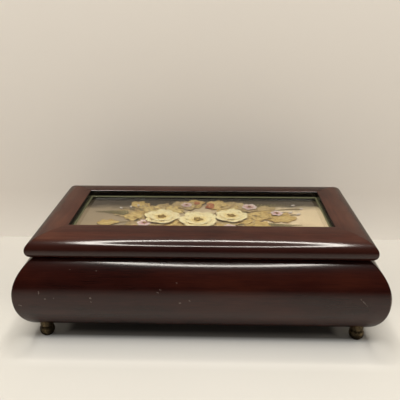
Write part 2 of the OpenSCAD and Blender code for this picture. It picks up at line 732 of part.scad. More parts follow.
// A cup over the mainspring, on three legs that straddle the great wheel, with a lug for the cylinder arbor
module spring_housing() {
    arm_t = 1;
    color("#c9c4b4") in_movement() difference() {
        union() {
            translate([0, 0, housing_z0]) cylinder(h = housing_h, r = housing_r);
            for (a = leg_places()) rotate(a) {
                translate([housing_r - 1, -leg_w / 2, housing_z0]) cube([leg_out_r - housing_r + 1, leg_w, arm_t]);
                translate([leg_in_r, -leg_w / 2, bed_t]) cube([leg_out_r - leg_in_r, leg_w, housing_z0 + arm_t - bed_t]);
            }
            translate([housing_r - 1, -lug_r, housing_z0])
                cube([lug_end - housing_r + 1, 2 * lug_r, axis_z - housing_z0 + lug_r]);
        }
        translate([0, 0, housing_z0 - cut]) cylinder(h = housing_h - housing_wall + cut, r = housing_r - housing_wall);
        translate([0, 0, housing_z0]) cylinder(h = housing_h + cut, r = arbor_neck_r + run_gap);
        shaft_u(housing_r - 2, lug_end + cut, shaft_r + run_gap);
        for (a = leg_places()) rotate(a) translate([leg_in_r + leg_t / 2, 0, 0]) cylinder(h = housing_z1, r = 0.7);
    }
}

// A flat strip wound in a spiral
module mainspring() {
    turns = 7;
    n = 24 * turns;
    strip = 0.3;
    r0 = arbor_r + 0.6;
    r1 = housing_r - housing_wall - 0.1 - strip;
    color("#8b8f94") in_movement() translate([0, 0, housing_z0 + 0.8]) linear_extrude(housing_h - housing_wall - 1.1)
        polygon(concat([for (i = [0 : n]) let (r = r0 + (r1 - r0) * i / n, a = 15 * i) r * [cos(a), sin(a)]],
            [for (i = [n : -1 : 0]) let (r = r0 + strip + (r1 - r0) * i / n, a = 15 * i) r * [cos(a), sin(a)]]));
}

module winding_arbor() {
    neck_z = housing_z1 - housing_wall - 0.2;
    color("#9a9ea3") in_movement() {
        translate([0, 0, key_lift + 2 - base_z1]) cylinder(h = neck_z - key_lift - 2 + base_z1, r = arbor_r);
        translate([0, 0, neck_z - eps]) cylinder(h = housing_z1 + 0.6 - neck_z, r = arbor_neck_r);
    }
}

// The crown wheel: a disc whose teeth stand up around its rim
module great_wheel() {
    pitch = PI * drive_module;
    color("#c2a25c") in_movement() difference() {
        union() {
            translate([0, 0, crown_z0]) cylinder(h = crown_disc_t, r = crown_out_r);
            translate([0, 0, bed_t + shadow_gap]) cylinder(h = crown_hub_h, r = arbor_r + 2);
            for (k = [0 : crown_teeth - 1]) rotate(360 / crown_teeth * (k + 0.5))
                translate([crown_in_r + 0.2, 0, crown_z1]) rotate([90, 0, 90]) linear_extrude(crown_face - 0.3)
                    polygon([[-0.2 * pitch, -0.2], [0.2 * pitch, -0.2], [0.2 * pitch, 0],
                        [0.08 * pitch, crown_root + crown_tip], [-0.08 * pitch, crown_root + crown_tip],
                        [-0.2 * pitch, 0]]);
        }
        cylinder(h = axis_z, r = arbor_r + run_gap);
    }
}

// Three turns of wire on the arbor that let the key turn one way only
module clutch_spring() {
    wire = 0.28;
    color("#8b8f94") in_movement() translate([0, 0, crown_z1 + wire]) rotate_extrude()
        for (i = [0 : 2]) translate([arbor_r + wire + run_gap, i * 1.9 * wire]) circle(r = wire);
}

module winding_key() {
    wing = key_w / 2 - key_h / 2;
    hub_h = base_z0 - 0.8 - key_lift - 1;
    color("#b08d4a") translate([mov_x, mov_y, key_lift]) difference() {
        union() {
            translate([0, 0, 1]) cylinder(h = hub_h, r = key_hub_r);
            translate([0, key_t / 2, key_h / 2]) rotate([90, 0, 0]) linear_extrude(key_t) {
                for (s = [-1, 1]) translate([s * wing, 0]) circle(r = key_h / 2);
                translate([-wing, -key_h * 0.34]) square([2 * wing, key_h * 0.68]);
            }
        }
        translate([0, 0, 2 - eps]) cylinder(h = hub_h, r = arbor_r + run_gap / 2);
        for (s = [-1, 1]) translate([s * wing, 0, key_h / 2]) rotate([90, 0, 0])
            cylinder(h = key_t + cut, r = key_h * 0.24, center = true);
    }
}

// A tube with pins, closed at its pinion end
module music_cylinder() {
    wall = 0.6;
    tunes = 4;
    color("#d3b463") in_movement() {
        difference() {
            shaft_u(drum_u0, gear_u0, drum_r);
            shaft_u(drum_u0 + 1.2, gear_u0 + cut, drum_r - wall);
            shaft_u(drum_u0 - cut, gear_u0 + cut, shaft_r + run_gap / 2);
        }
        for (i = [0 : notes - 1], j = [0 : tunes - 1])
            translate([drum_u0 + drum_end + (i + 0.5) * note_pitch, 0, axis_z])
                rotate([i * 97 + j * 360 / tunes + (i * j * 17) % 40, 0, 0])
                    translate([0, 0, drum_r - wall / 2]) cylinder(h = pin_h + wall / 2, r = pin_r);
    }
}

module cylinder_arbor() { color("#9a9ea3") in_movement() shaft_u(housing_r - 0.5, inner_plate_u + plate_t, shaft_r); }

module cylinder_pinion() {
    color("#c2a25c") in_movement() {
        spur_u(crown_in_r - 0.1, crown_face + 0.15, 0, pinion_teeth, pinion_r, crown_tip, crown_root, 270,
            shaft_r + run_gap / 2);
    }
}

module cylinder_gear() {
    color("#c2a25c") in_movement()
        spur_u(gear_u0, gear_face, 0, gear_teeth, gear_r, 0.8 * fine_module, fine_module, 0, shaft_r + run_gap / 2);
}

// A steel plate cut into teeth; the slots grow shorter towards the high notes
module comb() {
    u0 = drum_u0 + drum_end;
    tooth_l = comb_l - comb_base_l;
    color("#a9adb2") in_movement() difference() {
        union() {
            translate([u0, -comb_v1, axis_z - comb_t / 2]) cube([notes * note_pitch, comb_l, comb_t]);
            translate([u0, -comb_v1, axis_z]) cube([notes * note_pitch, comb_base_l - 0.8, comb_base_t]);
        }
        for (i = [1 : notes - 1]) translate([u0 + i * note_pitch - comb_slot / 2,
                -comb_v0 - tooth_l * (1 - 0.35 * i / notes), axis_z - comb_t])
            cube([comb_slot, tooth_l + cut, 2 * comb_t]);
        for (p = comb_screw_places()) translate([p[0], p[1], axis_z - comb_t]) cylinder(h = 2 * comb_base_t, r = 0.9);
    }
}

// Screws stand on top; each has a slotted head
module pan_screw(head_r, head_h, shank_r, shank_l) {
    difference() {
        cylinder(h = head_h, r = head_r);
        translate([-head_r, -0.2, head_h * 0.55]) cube([2 * head_r, 0.4, head_h]);
    }
    translate([0, 0, -shank_l]) cylinder(h = shank_l + eps, r = shank_r);
}

module comb_screws() {
    color("#8d9196") in_movement() for (p = comb_screw_places())
        translate([p[0], p[1], axis_z + comb_base_t]) pan_screw(1.8, 1.1, 0.8, comb_base_t + comb_screw_in);
}

// Two plates on a foot, joined by a bridge over the worm
module governor_frame() {
    l = outer_plate_u + plate_t - inner_plate_u;
    color("#b9a05e") in_movement() difference() {
        union() {
            translate([inner_plate_u, frame_v0, bed_t]) cube([l, frame_v1 - frame_v0, frame_foot_t]);
            translate([inner_plate_u, frame_v0, bed_t]) cube([plate_t, frame_v1 - frame_v0, governor_h]);
            translate([outer_plate_u, governor_v - bearing_side, bed_t])
                cube([plate_t, frame_v1 - governor_v + bearing_side, governor_h]);
            translate([inner_plate_u, worm_v - bearing_side, governor_z1 - frame_foot_t])
                cube([l, frame_v1 - worm_v + bearing_side, frame_foot_t]);
        }
        shaft_u(inner_plate_u - cut, inner_plate_u + plate_t + cut, shaft_r + run_gap);
        shaft_u(inner_plate_u - cut, outer_plate_u + plate_t + cut, pivot_r + run_gap, governor_v);
        translate([worm_u, worm_v, -cut]) cylinder(h = governor_z1 + 2 * cut, r = pivot_r + run_gap);
        for (p = frame_screw_places()) translate([p[0], p[1], 0]) cylinder(h = bed_t + frame_foot_t + cut, r = 0.7);
    }
}

// The governor's first shaft, with its pinion cut on the end that overhangs the inner plate
module governor_arbor() {
    color("#9a9ea3") in_movement() {
        spur_u(gear_u0, gear_face, governor_v, governor_teeth, governor_r, 0.8 * fine_module, fine_module,
            180 + 180 / governor_teeth, eps);
        shaft_u(gear_u0, outer_plate_u + plate_t, pivot_r, governor_v);
    }
}

module worm_wheel() {
    color("#c2a25c") in_movement() spur_u(worm_u - gear_face / 2, gear_face, governor_v, worm_teeth, worm_wheel_r,
        worm_tip, worm_dip, 0, pivot_r + run_gap / 2);
}

// A single-start thread on an upright shaft
module worm() {
    pitch = PI * worm_module;
    turns = 5;
    per_turn = 20;
    core_r = worm_r - worm_dip;
    z0 = axis_z - turns * pitch / 2;
    half = [0.2 * pitch, 0.1 * pitch];
    ring = [[core_r - 0.1, -half[0]], [worm_out_r, -half[1]], [worm_out_r, half[1]], [core_r - 0.1, half[0]]];
    n = turns * per_turn;
    color("#9a9ea3") in_movement() translate([worm_u, worm_v, 0]) {
        translate([0, 0, bed_t + 0.1]) cylinder(h = fan_z0 + fan_h - fan_cap_t - bed_t - 0.2, r = pivot_r);
        translate([0, 0, bed_t + frame_foot_t + 0.2])
            cylinder(h = governor_h - 2 * frame_foot_t - 0.4, r = core_r);
        translate([0, 0, z0]) polyhedron(
            points = [for (i = [0 : n], p = ring) let (a = 270 + 360 * i / per_turn)
                [p[0] * cos(a), p[0] * sin(a), p[1] + pitch * i / per_turn]],
            faces = concat([[3, 2, 1, 0]], [[4 * n, 4 * n + 1, 4 * n + 2, 4 * n + 3]],
                [for (i = [0 : n - 1], k = [0 : 3], f = [0, 1]) let (a = 4 * i + k, b = 4 * i + (k + 1) % 4)
                    f == 0 ? [a, b, a + 4] : [b, b + 4, a + 4]]));
    }
}

// Two blades on a hub; the air holds them back
module fan() {
    blade_t = 0.4;
    color("#c9c4b4") in_movement() translate([worm_u, worm_v, fan_z0]) difference() {
        union() {
            cylinder(h = fan_h, r = fan_hub_r);
            translate([-fan_r, -blade_t / 2, 0.4]) cube([2 * fan_r, blade_t, fan_h - 0.6]);
        }
        translate([0, 0, -cut]) cylinder(h = fan_h + cut - fan_cap_t, r = pivot_r + run_gap / 2);
    }
}

// A rod that the lid holds down, with an arm whose pad rests on the fan's hub
module stop_wire() {
    dx = mov_x - worm_v - rod_x;
    dy = mov_y + worm_u - rod_y;
    color("#9a9ea3") {
        translate([rod_x, rod_y, rod_z0]) cylinder(h = rod_z1 - rod_z0, r = wire_r);
        translate([rod_x, rod_y, arm_z]) rotate([0, 0, atan2(dy, dx)]) rotate([0, 90, 0])
            cylinder(h = norm([dx, dy]), r = wire_r);
        translate([mov_x - worm_v, mov_y + worm_u, pad_z0]) cylinder(h = pad_h + wire_r, r = 1.5 * wire_r);
    }
}

// A wooden block on the case's left wall, bored for the rod
module stop_wire_guide() {
    w = 3.2;
    color("#6b4a33") difference() {
        slab([-room_x, rod_y - w / 2, guide_z0], [rod_x + wire_r + 1.2, rod_y + w / 2, guide_z1]);
        translate([rod_x, rod_y, guide_z0 - cut]) cylinder(h = guide_z1 - guide_z0 + 2 * cut, r = wire_r + run_gap);
    }
}

// A coil between the guide and the arm that lifts the rod
module stop_spring() {
    wire = 0.25;
    room = arm_z - wire_r - guide_z1 - 0.1;
    turns = 5;
    color("#8b8f94") translate([rod_x, rod_y, guide_z1 + wire]) rotate_extrude()
        for (i = [0 : turns - 1]) translate([wire_r + wire + 0.1, i * (room - 2 * wire) / (turns - 1)])
            union() {
                circle(r = wire);
                if (i < turns - 1) translate([-0.1, 0]) square([0.2, (room - 2 * wire) / (turns - 1)]);
            }
}

module movement_screws() {
    color("#8d9196") in_movement() for (p = mov_screws) translate([p[0], p[1], -base_t])
        mirror([0, 0, 1]) pan_screw(2.6, 1.2, mov_screw_r, base_t + bed_t - 0.4);
}

module frame_screws() {
    color("#8d9196") in_movement() {
        for (a = leg_places()) rotate(a) translate([leg_in_r + leg_t / 2, 0, housing_z0 + 1])
            pan_screw(1.25, 0.8, 0.6, housing_z0 + 1 - 0.5);
        for (p = frame_screw_places()) translate([p[0], p[1], bed_t + frame_foot_t])
            pan_screw(1.1, 0.7, 0.6, bed_t + frame_foot_t - 0.5);
    }
}

case_front_rail();
case_back_rail();
case_left_rail();
case_right_rail();
base_panel();
foot_front_left();
foot_front_right();
foot_back_left();
foot_back_right();
movement_partition();
ring_divider();
floor_lining();
lining_front();
lining_back();
lining_right();
ring_rolls();
cover_ledges();
movement_cover();
hinge_left_lower_leaf();
hinge_left_upper_leaf();
hinge_right_lower_leaf();
hinge_right_upper_leaf();
hinge_pins();
hinge_screws_case();
hinge_screws_lid();
lid_front_rail();
lid_back_rail();
lid_left_rail();
lid_right_rail();
glass_pane();
spacer_frame();
picture_card();
pressed_leaves();
pressed_blossoms();
backing_panel();
lid_lining();
bedplate();
spring_housing();
mainspring();
winding_arbor();
great_wheel();
clutch_spring();
winding_key();
music_cylinder();
cylinder_arbor();
cylinder_pinion();
cylinder_gear();
comb();
comb_screws();
governor_frame();
governor_arbor();
worm_wheel();
worm();
fan();
stop_wire();
stop_wire_guide();
stop_spring();
movement_screws();
frame_screws();
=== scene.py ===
"""Dresses the cylinder music box: lacquered case, glazed flower lid, velvet inside and movement.

Sizes are in millimetres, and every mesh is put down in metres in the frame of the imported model.
The origin is the middle of the footprint on the table, +X right, +Y back and +Z up.
"""

import logging
import math
from dataclasses import dataclass
from enum import Enum
from typing import Callable, Optional, Sequence

import bpy
import numpy as np
from mathutils import Matrix, Vector


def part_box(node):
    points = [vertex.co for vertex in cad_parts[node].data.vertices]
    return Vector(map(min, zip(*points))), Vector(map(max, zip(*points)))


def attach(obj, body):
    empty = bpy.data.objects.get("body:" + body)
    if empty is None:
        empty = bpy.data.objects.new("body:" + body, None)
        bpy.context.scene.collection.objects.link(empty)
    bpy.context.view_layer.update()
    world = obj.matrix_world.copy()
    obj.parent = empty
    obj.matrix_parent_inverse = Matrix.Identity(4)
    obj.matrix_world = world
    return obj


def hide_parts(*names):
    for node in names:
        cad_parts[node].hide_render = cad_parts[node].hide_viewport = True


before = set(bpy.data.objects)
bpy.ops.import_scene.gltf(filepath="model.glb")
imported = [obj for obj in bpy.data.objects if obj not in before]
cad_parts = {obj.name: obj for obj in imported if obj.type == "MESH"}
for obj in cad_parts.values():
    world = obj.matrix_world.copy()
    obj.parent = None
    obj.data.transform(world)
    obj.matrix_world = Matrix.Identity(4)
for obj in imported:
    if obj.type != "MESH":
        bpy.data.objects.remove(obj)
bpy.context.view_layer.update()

log = logging.getLogger("music_box")

MM = 0.001
Colour = tuple[float, float, float]
Point = tuple[float, float, float]
Array = np.ndarray
Socket = bpy.types.NodeSocket
Node = bpy.types.Node
Material = bpy.types.Material


def reach(node: str) -> tuple[Point, Point]:
    """A node's lowest and highest corners at rest, in millimetres."""
    low, high = (np.round(np.array(corner) / MM, 3).tolist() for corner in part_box(node))
    return tuple(low), tuple(high)


CASE_LOW, CASE_HIGH = reach("case_front_rail")
BASE_LOW, BASE_HIGH = reach("base_panel")
LID_LOW, LID_HIGH = reach("lid_front_rail")
PIN_LOW, PIN_HIGH = reach("hinge_pins")
HINGE_LOW, HINGE_HIGH = reach("hinge_right_lower_leaf")
FOOT_LOW, FOOT_HIGH = reach("foot_back_right")
CARD_TOP = reach("picture_card")[1][2]
ROLLS_LOW, ROLLS_HIGH = reach("ring_rolls")


# --- Options ---


class Grain(Enum):
    """The direction that a material's fibres, or its brushing, run in."""

    ALONG_X = 0
    ALONG_Y = 1
    ALONG_Z = 2

    def stretch(self, along: float, across: float) -> Point:
        """Scales that draw a pattern out along the grain.

        Args:
            along: features per metre in the grain's direction.
            across: features per metre in the other two.

        Returns:
            One scale for each axis.
        """
        return tuple(along if axis == self.value else across for axis in range(3))


class Side(Enum):
    """A side of the box, with the plan matrix that takes a front piece there."""

    FRONT = ((1, 0), (0, 1))
    BACK = ((1, 0), (0, -1))
    LEFT = ((0, 1), (-1, 0))
    RIGHT = ((0, -1), (-1, 0))

    @property
    def grain(self) -> Grain:
        """Rails run along X at the front and back, and along Y at the ends."""
        return Grain.ALONG_X if self in (Side.FRONT, Side.BACK) else Grain.ALONG_Y

    def carry(self, points: Array) -> Array:
        """Turns or mirrors points made for the front to this side.

        Args:
            points: an array whose last axis is x, y and z.

        Returns:
            The points at this side.
        """
        out = points.copy()
        out[..., :2] = points[..., :2] @ np.array(self.value, float).T
        return out


# --- Meshes ---


class Shell:
    """One mesh, gathered from closed tubes of rings that are worked out as whole arrays."""

    def __init__(self) -> None:
        """Starts an empty mesh."""
        self._points: list[Array] = []
        self._loops: list[Array] = []
        self._sizes: list[Array] = []
        self._uvs: list[Array] = []
        self._tints: list[Array] = []
        self._count = 0

    def tube(self, rings: Array, tips: Sequence[Optional[Sequence[float]]] = (None, None),
             hoop: bool = False, tint: float = 0.5) -> "Shell":
        """Adds a closed skin over rings of points.

        Ring i and ring i + 1 are joined by quads (i, j), (i + 1, j), (i + 1, j + 1), (i, j + 1), where
        j runs round the ring. Each end is a flat face, or a fan to a tip. The skin is turned outwards by
        the sign of its volume, the sum of a . (b x c) / 6 over its triangles.

        Args:
            rings: points as (rings, points in a ring, 3), in millimetres.
            tips: a point that closes the first and the last ring, or None for a flat end.
            hoop: joins the last ring to the first and leaves out the ends.
            tint: a value kept at every point, for the material.

        Returns:
            The shell itself, so that calls can follow each other.
        """
        n, m, _ = rings.shape
        rows = np.arange(n if hoop else n - 1)[:, None]
        cols = np.arange(m)[None, :]
        near, far, nxt = (rows % n) * m, ((rows + 1) % n) * m, (cols + 1) % m
        quads = np.stack([near + cols, far + cols, far + nxt, near + nxt], -1).reshape(-1, 4)
        u0, u1 = rows / max(n - 1, 1) + 0 * cols, (rows + 1) / max(n - 1, 1) + 0 * cols
        v0, v1 = cols / m + 0 * rows, (cols + 1) / m + 0 * rows
        quad_uv = np.stack([u0, v0, u1, v0, u1, v1, u0, v1], -1).reshape(-1, 2)
        points = [rings.reshape(-1, 3)]
        faces, sizes, uvs = [quads.ravel()], [np.full(len(quads), 4)], [quad_uv]
        extra = n * m
        triangles = [quads[:, [0, 1, 2]], quads[:, [0, 2, 3]]]
        if not hoop:
            for end, tip in enumerate(tips):
                ring = np.arange(m) if end == 0 else (n - 1) * m + np.arange(m)[::-1]
                if tip is None:
                    faces.append(ring)
                    sizes.append(np.array([m]))
                    uvs.append(np.full((m, 2), float(end)))
                    triangles.append(np.stack([np.full(m - 2, ring[0]), ring[1:-1], ring[2:]], -1))
                else:
                    points.append(np.array([tip], float))
                    fan = np.stack([ring, np.roll(ring, -1), np.full(m, extra)], -1)
                    faces.append(fan.ravel())
                    sizes.append(np.full(m, 3))
                    uvs.append(np.stack([np.full(3 * m, float(end)), np.repeat(np.arange(m) / m, 3)], -1))
                    triangles.append(fan)
                    extra += 1
        flat = np.concatenate(points)
        tri = np.concatenate(triangles)
        volume = np.einsum("ij,ij->i", flat[tri[:, 0]], np.cross(flat[tri[:, 1]], flat[tri[:, 2]])).sum()
        loops, counts, uv = np.concatenate(faces), np.concatenate(sizes), np.concatenate(uvs)
        if volume < 0:
            # Each face's corners are taken the other way round, and their map places with them.
            first = np.repeat(np.cumsum(counts) - counts, counts)
            size = np.repeat(counts, counts)
            order = first + size - 1 - (np.arange(len(loops)) - first)
            loops, uv = loops[order], uv[order]
        self._points.append(flat)
        self._loops.append(loops + self._count)
        self._sizes.append(counts)
        self._uvs.append(uv)
        self._tints.append(np.full(len(flat), tint))
        self._count += len(flat)
        return self

    def piece(self, name: str, material: Material, body: str, slot: str,
              replaces: Sequence[str] = (), crease: float = 32.0) -> bpy.types.Object:
        """Makes the object, smooth apart from creases, and sets it on its body.

        Args:
            name: the piece's name.
            material: its finish.
            body: the body that it moves with.
            slot: the record's slot that the finish belongs to; not used.
            replaces: nodes that it stands for.
            crease: the angle between faces from which an edge stays sharp, in degrees.

        Returns:
            The new object.
        """
        points = np.concatenate(self._points) * MM
        loops, sizes = np.concatenate(self._loops), np.concatenate(self._sizes)
        mesh = bpy.data.meshes.new(name)
        mesh.vertices.add(len(points))
        mesh.vertices.foreach_set("co", points.astype(np.float32).ravel())
        mesh.loops.add(len(loops))
        mesh.loops.foreach_set("vertex_index", loops.astype(np.int32))
        mesh.polygons.add(len(sizes))
        mesh.polygons.foreach_set("loop_start", (np.cumsum(sizes) - sizes).astype(np.int32))
        mesh.update(calc_edges=True)
        layer = mesh.uv_layers.new(name="UVMap")
        layer.data.foreach_set("uv", np.concatenate(self._uvs).astype(np.float32).ravel())
        tint = mesh.attributes.new("tint", "FLOAT", "POINT")
        tint.data.foreach_set("value", np.concatenate(self._tints).astype(np.float32))
        mesh.validate()
        made = bpy.data.objects.new(name, mesh)
        bpy.context.scene.collection.objects.link(made)
        made.data.materials.append(material)
        smooth(mesh, crease)
        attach(made, body)
        if replaces:
            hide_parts(*replaces)
        log.info("%s: %d points, rides on %s", name, len(mesh.vertices), body)
        return made


def smooth(mesh: bpy.types.Mesh, crease: float) -> None:
    """Shades a mesh smooth between its creases; crease is in degrees."""
    mesh.shade_smooth()
    mesh.set_sharp_from_angle(angle=math.radians(crease))


def circle(radius: float, count: int) -> Array:
    """Points of a circle about the origin: radius x (cos a, sin a), as (count, 2)."""
    angle = np.linspace(0, 2 * math.pi, count, endpoint=False)
    return radius * np.stack([np.cos(angle), np.sin(angle)], -1)


def lathe(profile: Array, centre: Point, count: int = 64) -> Array:
    """Rings of a turned shape: the point (r, z) becomes r x (cos a, sin a) at height z.

    Args:
        profile: radii and heights from the bottom to the top, as (n, 2).
        centre: where the axis meets height 0.
        count: points in a ring.

    Returns:
        Rings for Shell.tube.
    """
    unit = circle(1.0, count)
    rings = np.empty((len(profile), count, 3))
    rings[..., :2] = profile[:, None, :1] * unit[None]
    rings[..., 2] = profile[:, None, 1]
    return rings + np.array(centre)


def rod(path: Array, radius: Array, count: int = 8) -> Array:
    """Rings of a round wire along a path that stays nearly level.

    A ring's plane holds the path's level normal (-ty, tx, 0) and the upright, and its points are
    the path's point + radius x (cos a x normal + sin a x up).

    Args:
        path: points, as (n, 3).
        radius: a radius for each point.
        count: points in a ring.

    Returns:
        Rings for Shell.tube.
    """
    along = np.gradient(path, axis=0)
    along /= np.linalg.norm(along, axis=1, keepdims=True)
    level = np.stack([-along[:, 1], along[:, 0], np.zeros(len(path))], -1)
    level /= np.maximum(np.linalg.norm(level, axis=1, keepdims=True), 1e-9)
    up = np.cross(along, level)
    unit = circle(1.0, count)
    spread = unit[None, :, :1] * level[:, None] + unit[None, :, 1:] * up[:, None]
    return path[:, None] + radius[:, None, None] * spread


def arc(centre: tuple[float, float], radii: tuple[float, float], start: float, end: float,
        steps: int) -> Array:
    """Points of an ellipse: centre + (a cos t, b sin t) for t from start to end, in degrees."""
    t = np.radians(np.linspace(start, end, steps))
    return np.stack([centre[0] + radii[0] * np.cos(t), centre[1] + radii[1] * np.sin(t)], -1)


def soft_board(low: Point, high: Point, radius: float, steps: int = 7, spans: int = 24) -> Array:
    """Rings of a board with round edges, along X.

    A ring is a rectangle in Y and Z whose corners are quarter circles. Near an end the ring is inset by
    radius x (1 - sin t) while x runs in by radius x (1 - cos t), for t from first to 90 degrees.

    Args:
        low: the lowest corner.
        high: the highest corner.
        radius: of the edges.
        steps: rings in an end's rounding, and points in a corner.
        spans: rings between the ends.

    Returns:
        Rings for Shell.tube.
    """
    first, least_radius = 8, 0.04
    low_a, high_a = np.array(low, float), np.array(high, float)
    mid, half = (low_a + high_a) / 2, (high_a - low_a) / 2
    t = np.radians(np.linspace(first, 90, steps))
    x_in = -half[0] + radius * (1 - np.cos(t))
    inset_in = radius * (1 - np.sin(t))
    xs = np.concatenate([x_in, np.linspace(x_in[-1], -x_in[-1], spans + 2)[1:-1], -x_in[::-1]])
    inset = np.concatenate([inset_in, np.zeros(spans), inset_in[::-1]])
    corner = np.radians(np.linspace(0, 90, steps))
    signs = np.array([[1, 1], [-1, 1], [-1, -1], [1, -1]], float)
    turn = np.concatenate([corner + k * math.pi / 2 for k in range(4)])
    sign = np.repeat(signs, steps, axis=0)
    r = np.maximum(radius - inset, least_radius)[:, None]
    y = sign[None, :, 0] * (half[1] - inset[:, None] - r) + r * np.cos(turn)[None]
    z = sign[None, :, 1] * (half[2] - inset[:, None] - r) + r * np.sin(turn)[None]
    return np.stack([np.broadcast_to(xs[:, None], y.shape), y, z], -1) + mid


# --- Materials ---


class Tree:
    """Puts one material together. Its methods add nodes and return their sockets."""

    def __init__(self, name: str) -> None:
        """Starts a material with an output and object coordinates.

        Args:
            name: of the material.
        """
        self.material = bpy.data.materials.new(name)
        self.material.use_nodes = True
        self.nodes = self.material.node_tree.nodes
        self.links = self.material.node_tree.links
        self.nodes.clear()
        self.output = self.nodes.new("ShaderNodeOutputMaterial")
        self.place = self.nodes.new("ShaderNodeTexCoord").outputs["Object"]

    def put(self, socket: Socket, value: object) -> None:
        """Links a socket to another, or sets its value.

        Args:
            socket: the input that is filled.
            value: an output socket, a number, a vector or a colour.
        """
        if isinstance(value, Socket):
            self.links.new(value, socket)
        elif isinstance(value, tuple) and socket.type == "RGBA" and len(value) == 3:
            socket.default_value = (*value, 1.0)
        else:
            socket.default_value = value

    def mapped(self, scale: Point, vector: object = None) -> Socket:
        """Scales a vector.

        Args:
            scale: a factor for each axis.
            vector: what is scaled, or None for the place.

        Returns:
            The scaled vector.
        """
        node = self.nodes.new("ShaderNodeMapping")
        self.put(node.inputs["Vector"], self.place if vector is None else vector)
        node.inputs["Scale"].default_value = scale
        return node.outputs["Vector"]

    def noise(self, vector: object, scale: float = 1.0, detail: float = 3.0, rough: float = 0.55,
              warp: float = 0.0) -> Socket:
        """Fractal noise.

        Args:
            vector: where it is read.
            scale: features per unit of the vector.
            detail: how many finer layers are added.
            rough: how strong the finer layers are.
            warp: how far the noise is pushed about by itself.

        Returns:
            A number about 0.5.
        """
        node = self.nodes.new("ShaderNodeTexNoise")
        self.put(node.inputs["Vector"], vector)
        node.inputs["Scale"].default_value = scale
        node.inputs["Detail"].default_value = detail
        node.inputs["Roughness"].default_value = rough
        node.inputs["Distortion"].default_value = warp
        return node.outputs["Fac"]

    def cells(self, vector: object, scale: float) -> tuple[Socket, Socket]:
        """Voronoi cells.

        Args:
            vector: where they are read.
            scale: cells per unit of the vector.

        Returns:
            The distance to the nearest seed, and a random colour for each cell.
        """
        node = self.nodes.new("ShaderNodeTexVoronoi")
        self.put(node.inputs["Vector"], vector)
        node.inputs["Scale"].default_value = scale
        return node.outputs["Distance"], node.outputs["Color"]

    def math(self, kind: str, a: object, b: object = 0.0, clamp: bool = False) -> Socket:
        """One sum of two numbers.

        Args:
            kind: the node's operation.
            a: the first number.
            b: the second number, where the operation takes one.
            clamp: keeps the result from 0 to 1.

        Returns:
            The result.
        """
        node = self.nodes.new("ShaderNodeMath")
        node.operation = kind
        node.use_clamp = clamp
        self.put(node.inputs[0], a)
        if len(node.inputs) > 1:
            self.put(node.inputs[1], b)
        return node.outputs[0]

    def vector(self, kind: str, a: object, b: object = (0, 0, 0), scale: object = None) -> Node:
        """One sum of two vectors.

        Args:
            kind: the node's operation.
            a: the first vector.
            b: the second vector.
            scale: a factor, for the operation that takes one in place of the second vector.

        Returns:
            The node, because some operations give a number and some a vector.
        """
        node = self.nodes.new("ShaderNodeVectorMath")
        node.operation = kind
        self.put(node.inputs[0], a)
        if scale is None:
            self.put(node.inputs[1], b)
        else:
            self.put(node.inputs["Scale"], scale)
        return node

    def remap(self, value: object, low: float, high: float, to_low: float = 0.0, to_high: float = 1.0,
              smooth_step: bool = False) -> Socket:
        """Carries one range of numbers to another, and stops at both ends.

        Args:
            value: what is carried.
            low: the start of its range.
            high: the end of its range.
            to_low: what the start becomes.
            to_high: what the end becomes.
            smooth_step: eases in and out between them.

        Returns:
            The carried number.
        """
        node = self.nodes.new("ShaderNodeMapRange")
        node.interpolation_type = "SMOOTHSTEP" if smooth_step else "LINEAR"
        self.put(node.inputs["Value"], value)
        node.inputs["From Min"].default_value = low
        node.inputs["From Max"].default_value = high
        node.inputs["To Min"].default_value = to_low
        node.inputs["To Max"].default_value = to_high
        return node.outputs["Result"]

    def ramp(self, value: object, stops: Sequence[tuple[float, Colour]]) -> Socket:
        """Colours a value.

        Args:
            value: from 0 to 1.
            stops: positions and their colours; between two of them the colours blend.

        Returns:
            The colour.
        """
        node = self.nodes.new("ShaderNodeValToRGB")
        elements = node.color_ramp.elements
        while len(elements) < len(stops):
            elements.new(0.5)
        for element, (position, colour) in zip(elements, stops):
            element.position = position
            element.color = (*colour, 1.0)
        self.put(node.inputs["Fac"], value)
        return node.outputs["Color"]

    def mix(self, share: object, a: object, b: object) -> Socket:
        """Mixes two colours.

        Args:
            share: how much of the second there is.
            a: the first colour.
            b: the second colour.

        Returns:
            The mixed colour.
        """
        node = self.nodes.new("ShaderNodeMix")
        node.data_type = "RGBA"
        for socket, value in ((node.inputs[0], share), (node.inputs[6], a), (node.inputs[7], b)):
            self.put(socket, value)
        return node.outputs[2]

    def axis(self, vector: object, which: int) -> Socket:
        """One of a vector's three numbers.

        Args:
            vector: the vector.
            which: 0, 1 or 2.

        Returns:
            The number.
        """
        node = self.nodes.new("ShaderNodeSeparateXYZ")
        self.put(node.inputs[0], vector)
        return node.outputs[which]

    def attribute(self, name: str) -> Socket:
        """A number that the mesh keeps at its points.

        Args:
            name: the attribute's name.

        Returns:
            The number.
        """
        node = self.nodes.new("ShaderNodeAttribute")
        node.attribute_name = name
        return node.outputs["Fac"]

    def bump(self, height: object, strength: float, depth: float, under: object = None) -> Socket:
        """A normal that follows a height.

        Args:
            height: from 0 to 1.
            strength: how much of the relief shows.
            depth: of the relief, in metres.
            under: a normal that it starts from.

        Returns:
            The normal.
        """
        node = self.nodes.new("ShaderNodeBump")
        node.inputs["Strength"].default_value = strength
        node.inputs["Distance"].default_value = depth
        self.put(node.inputs["Height"], height)
        if under is not None:
            self.put(node.inputs["Normal"], under)
        return node.outputs["Normal"]

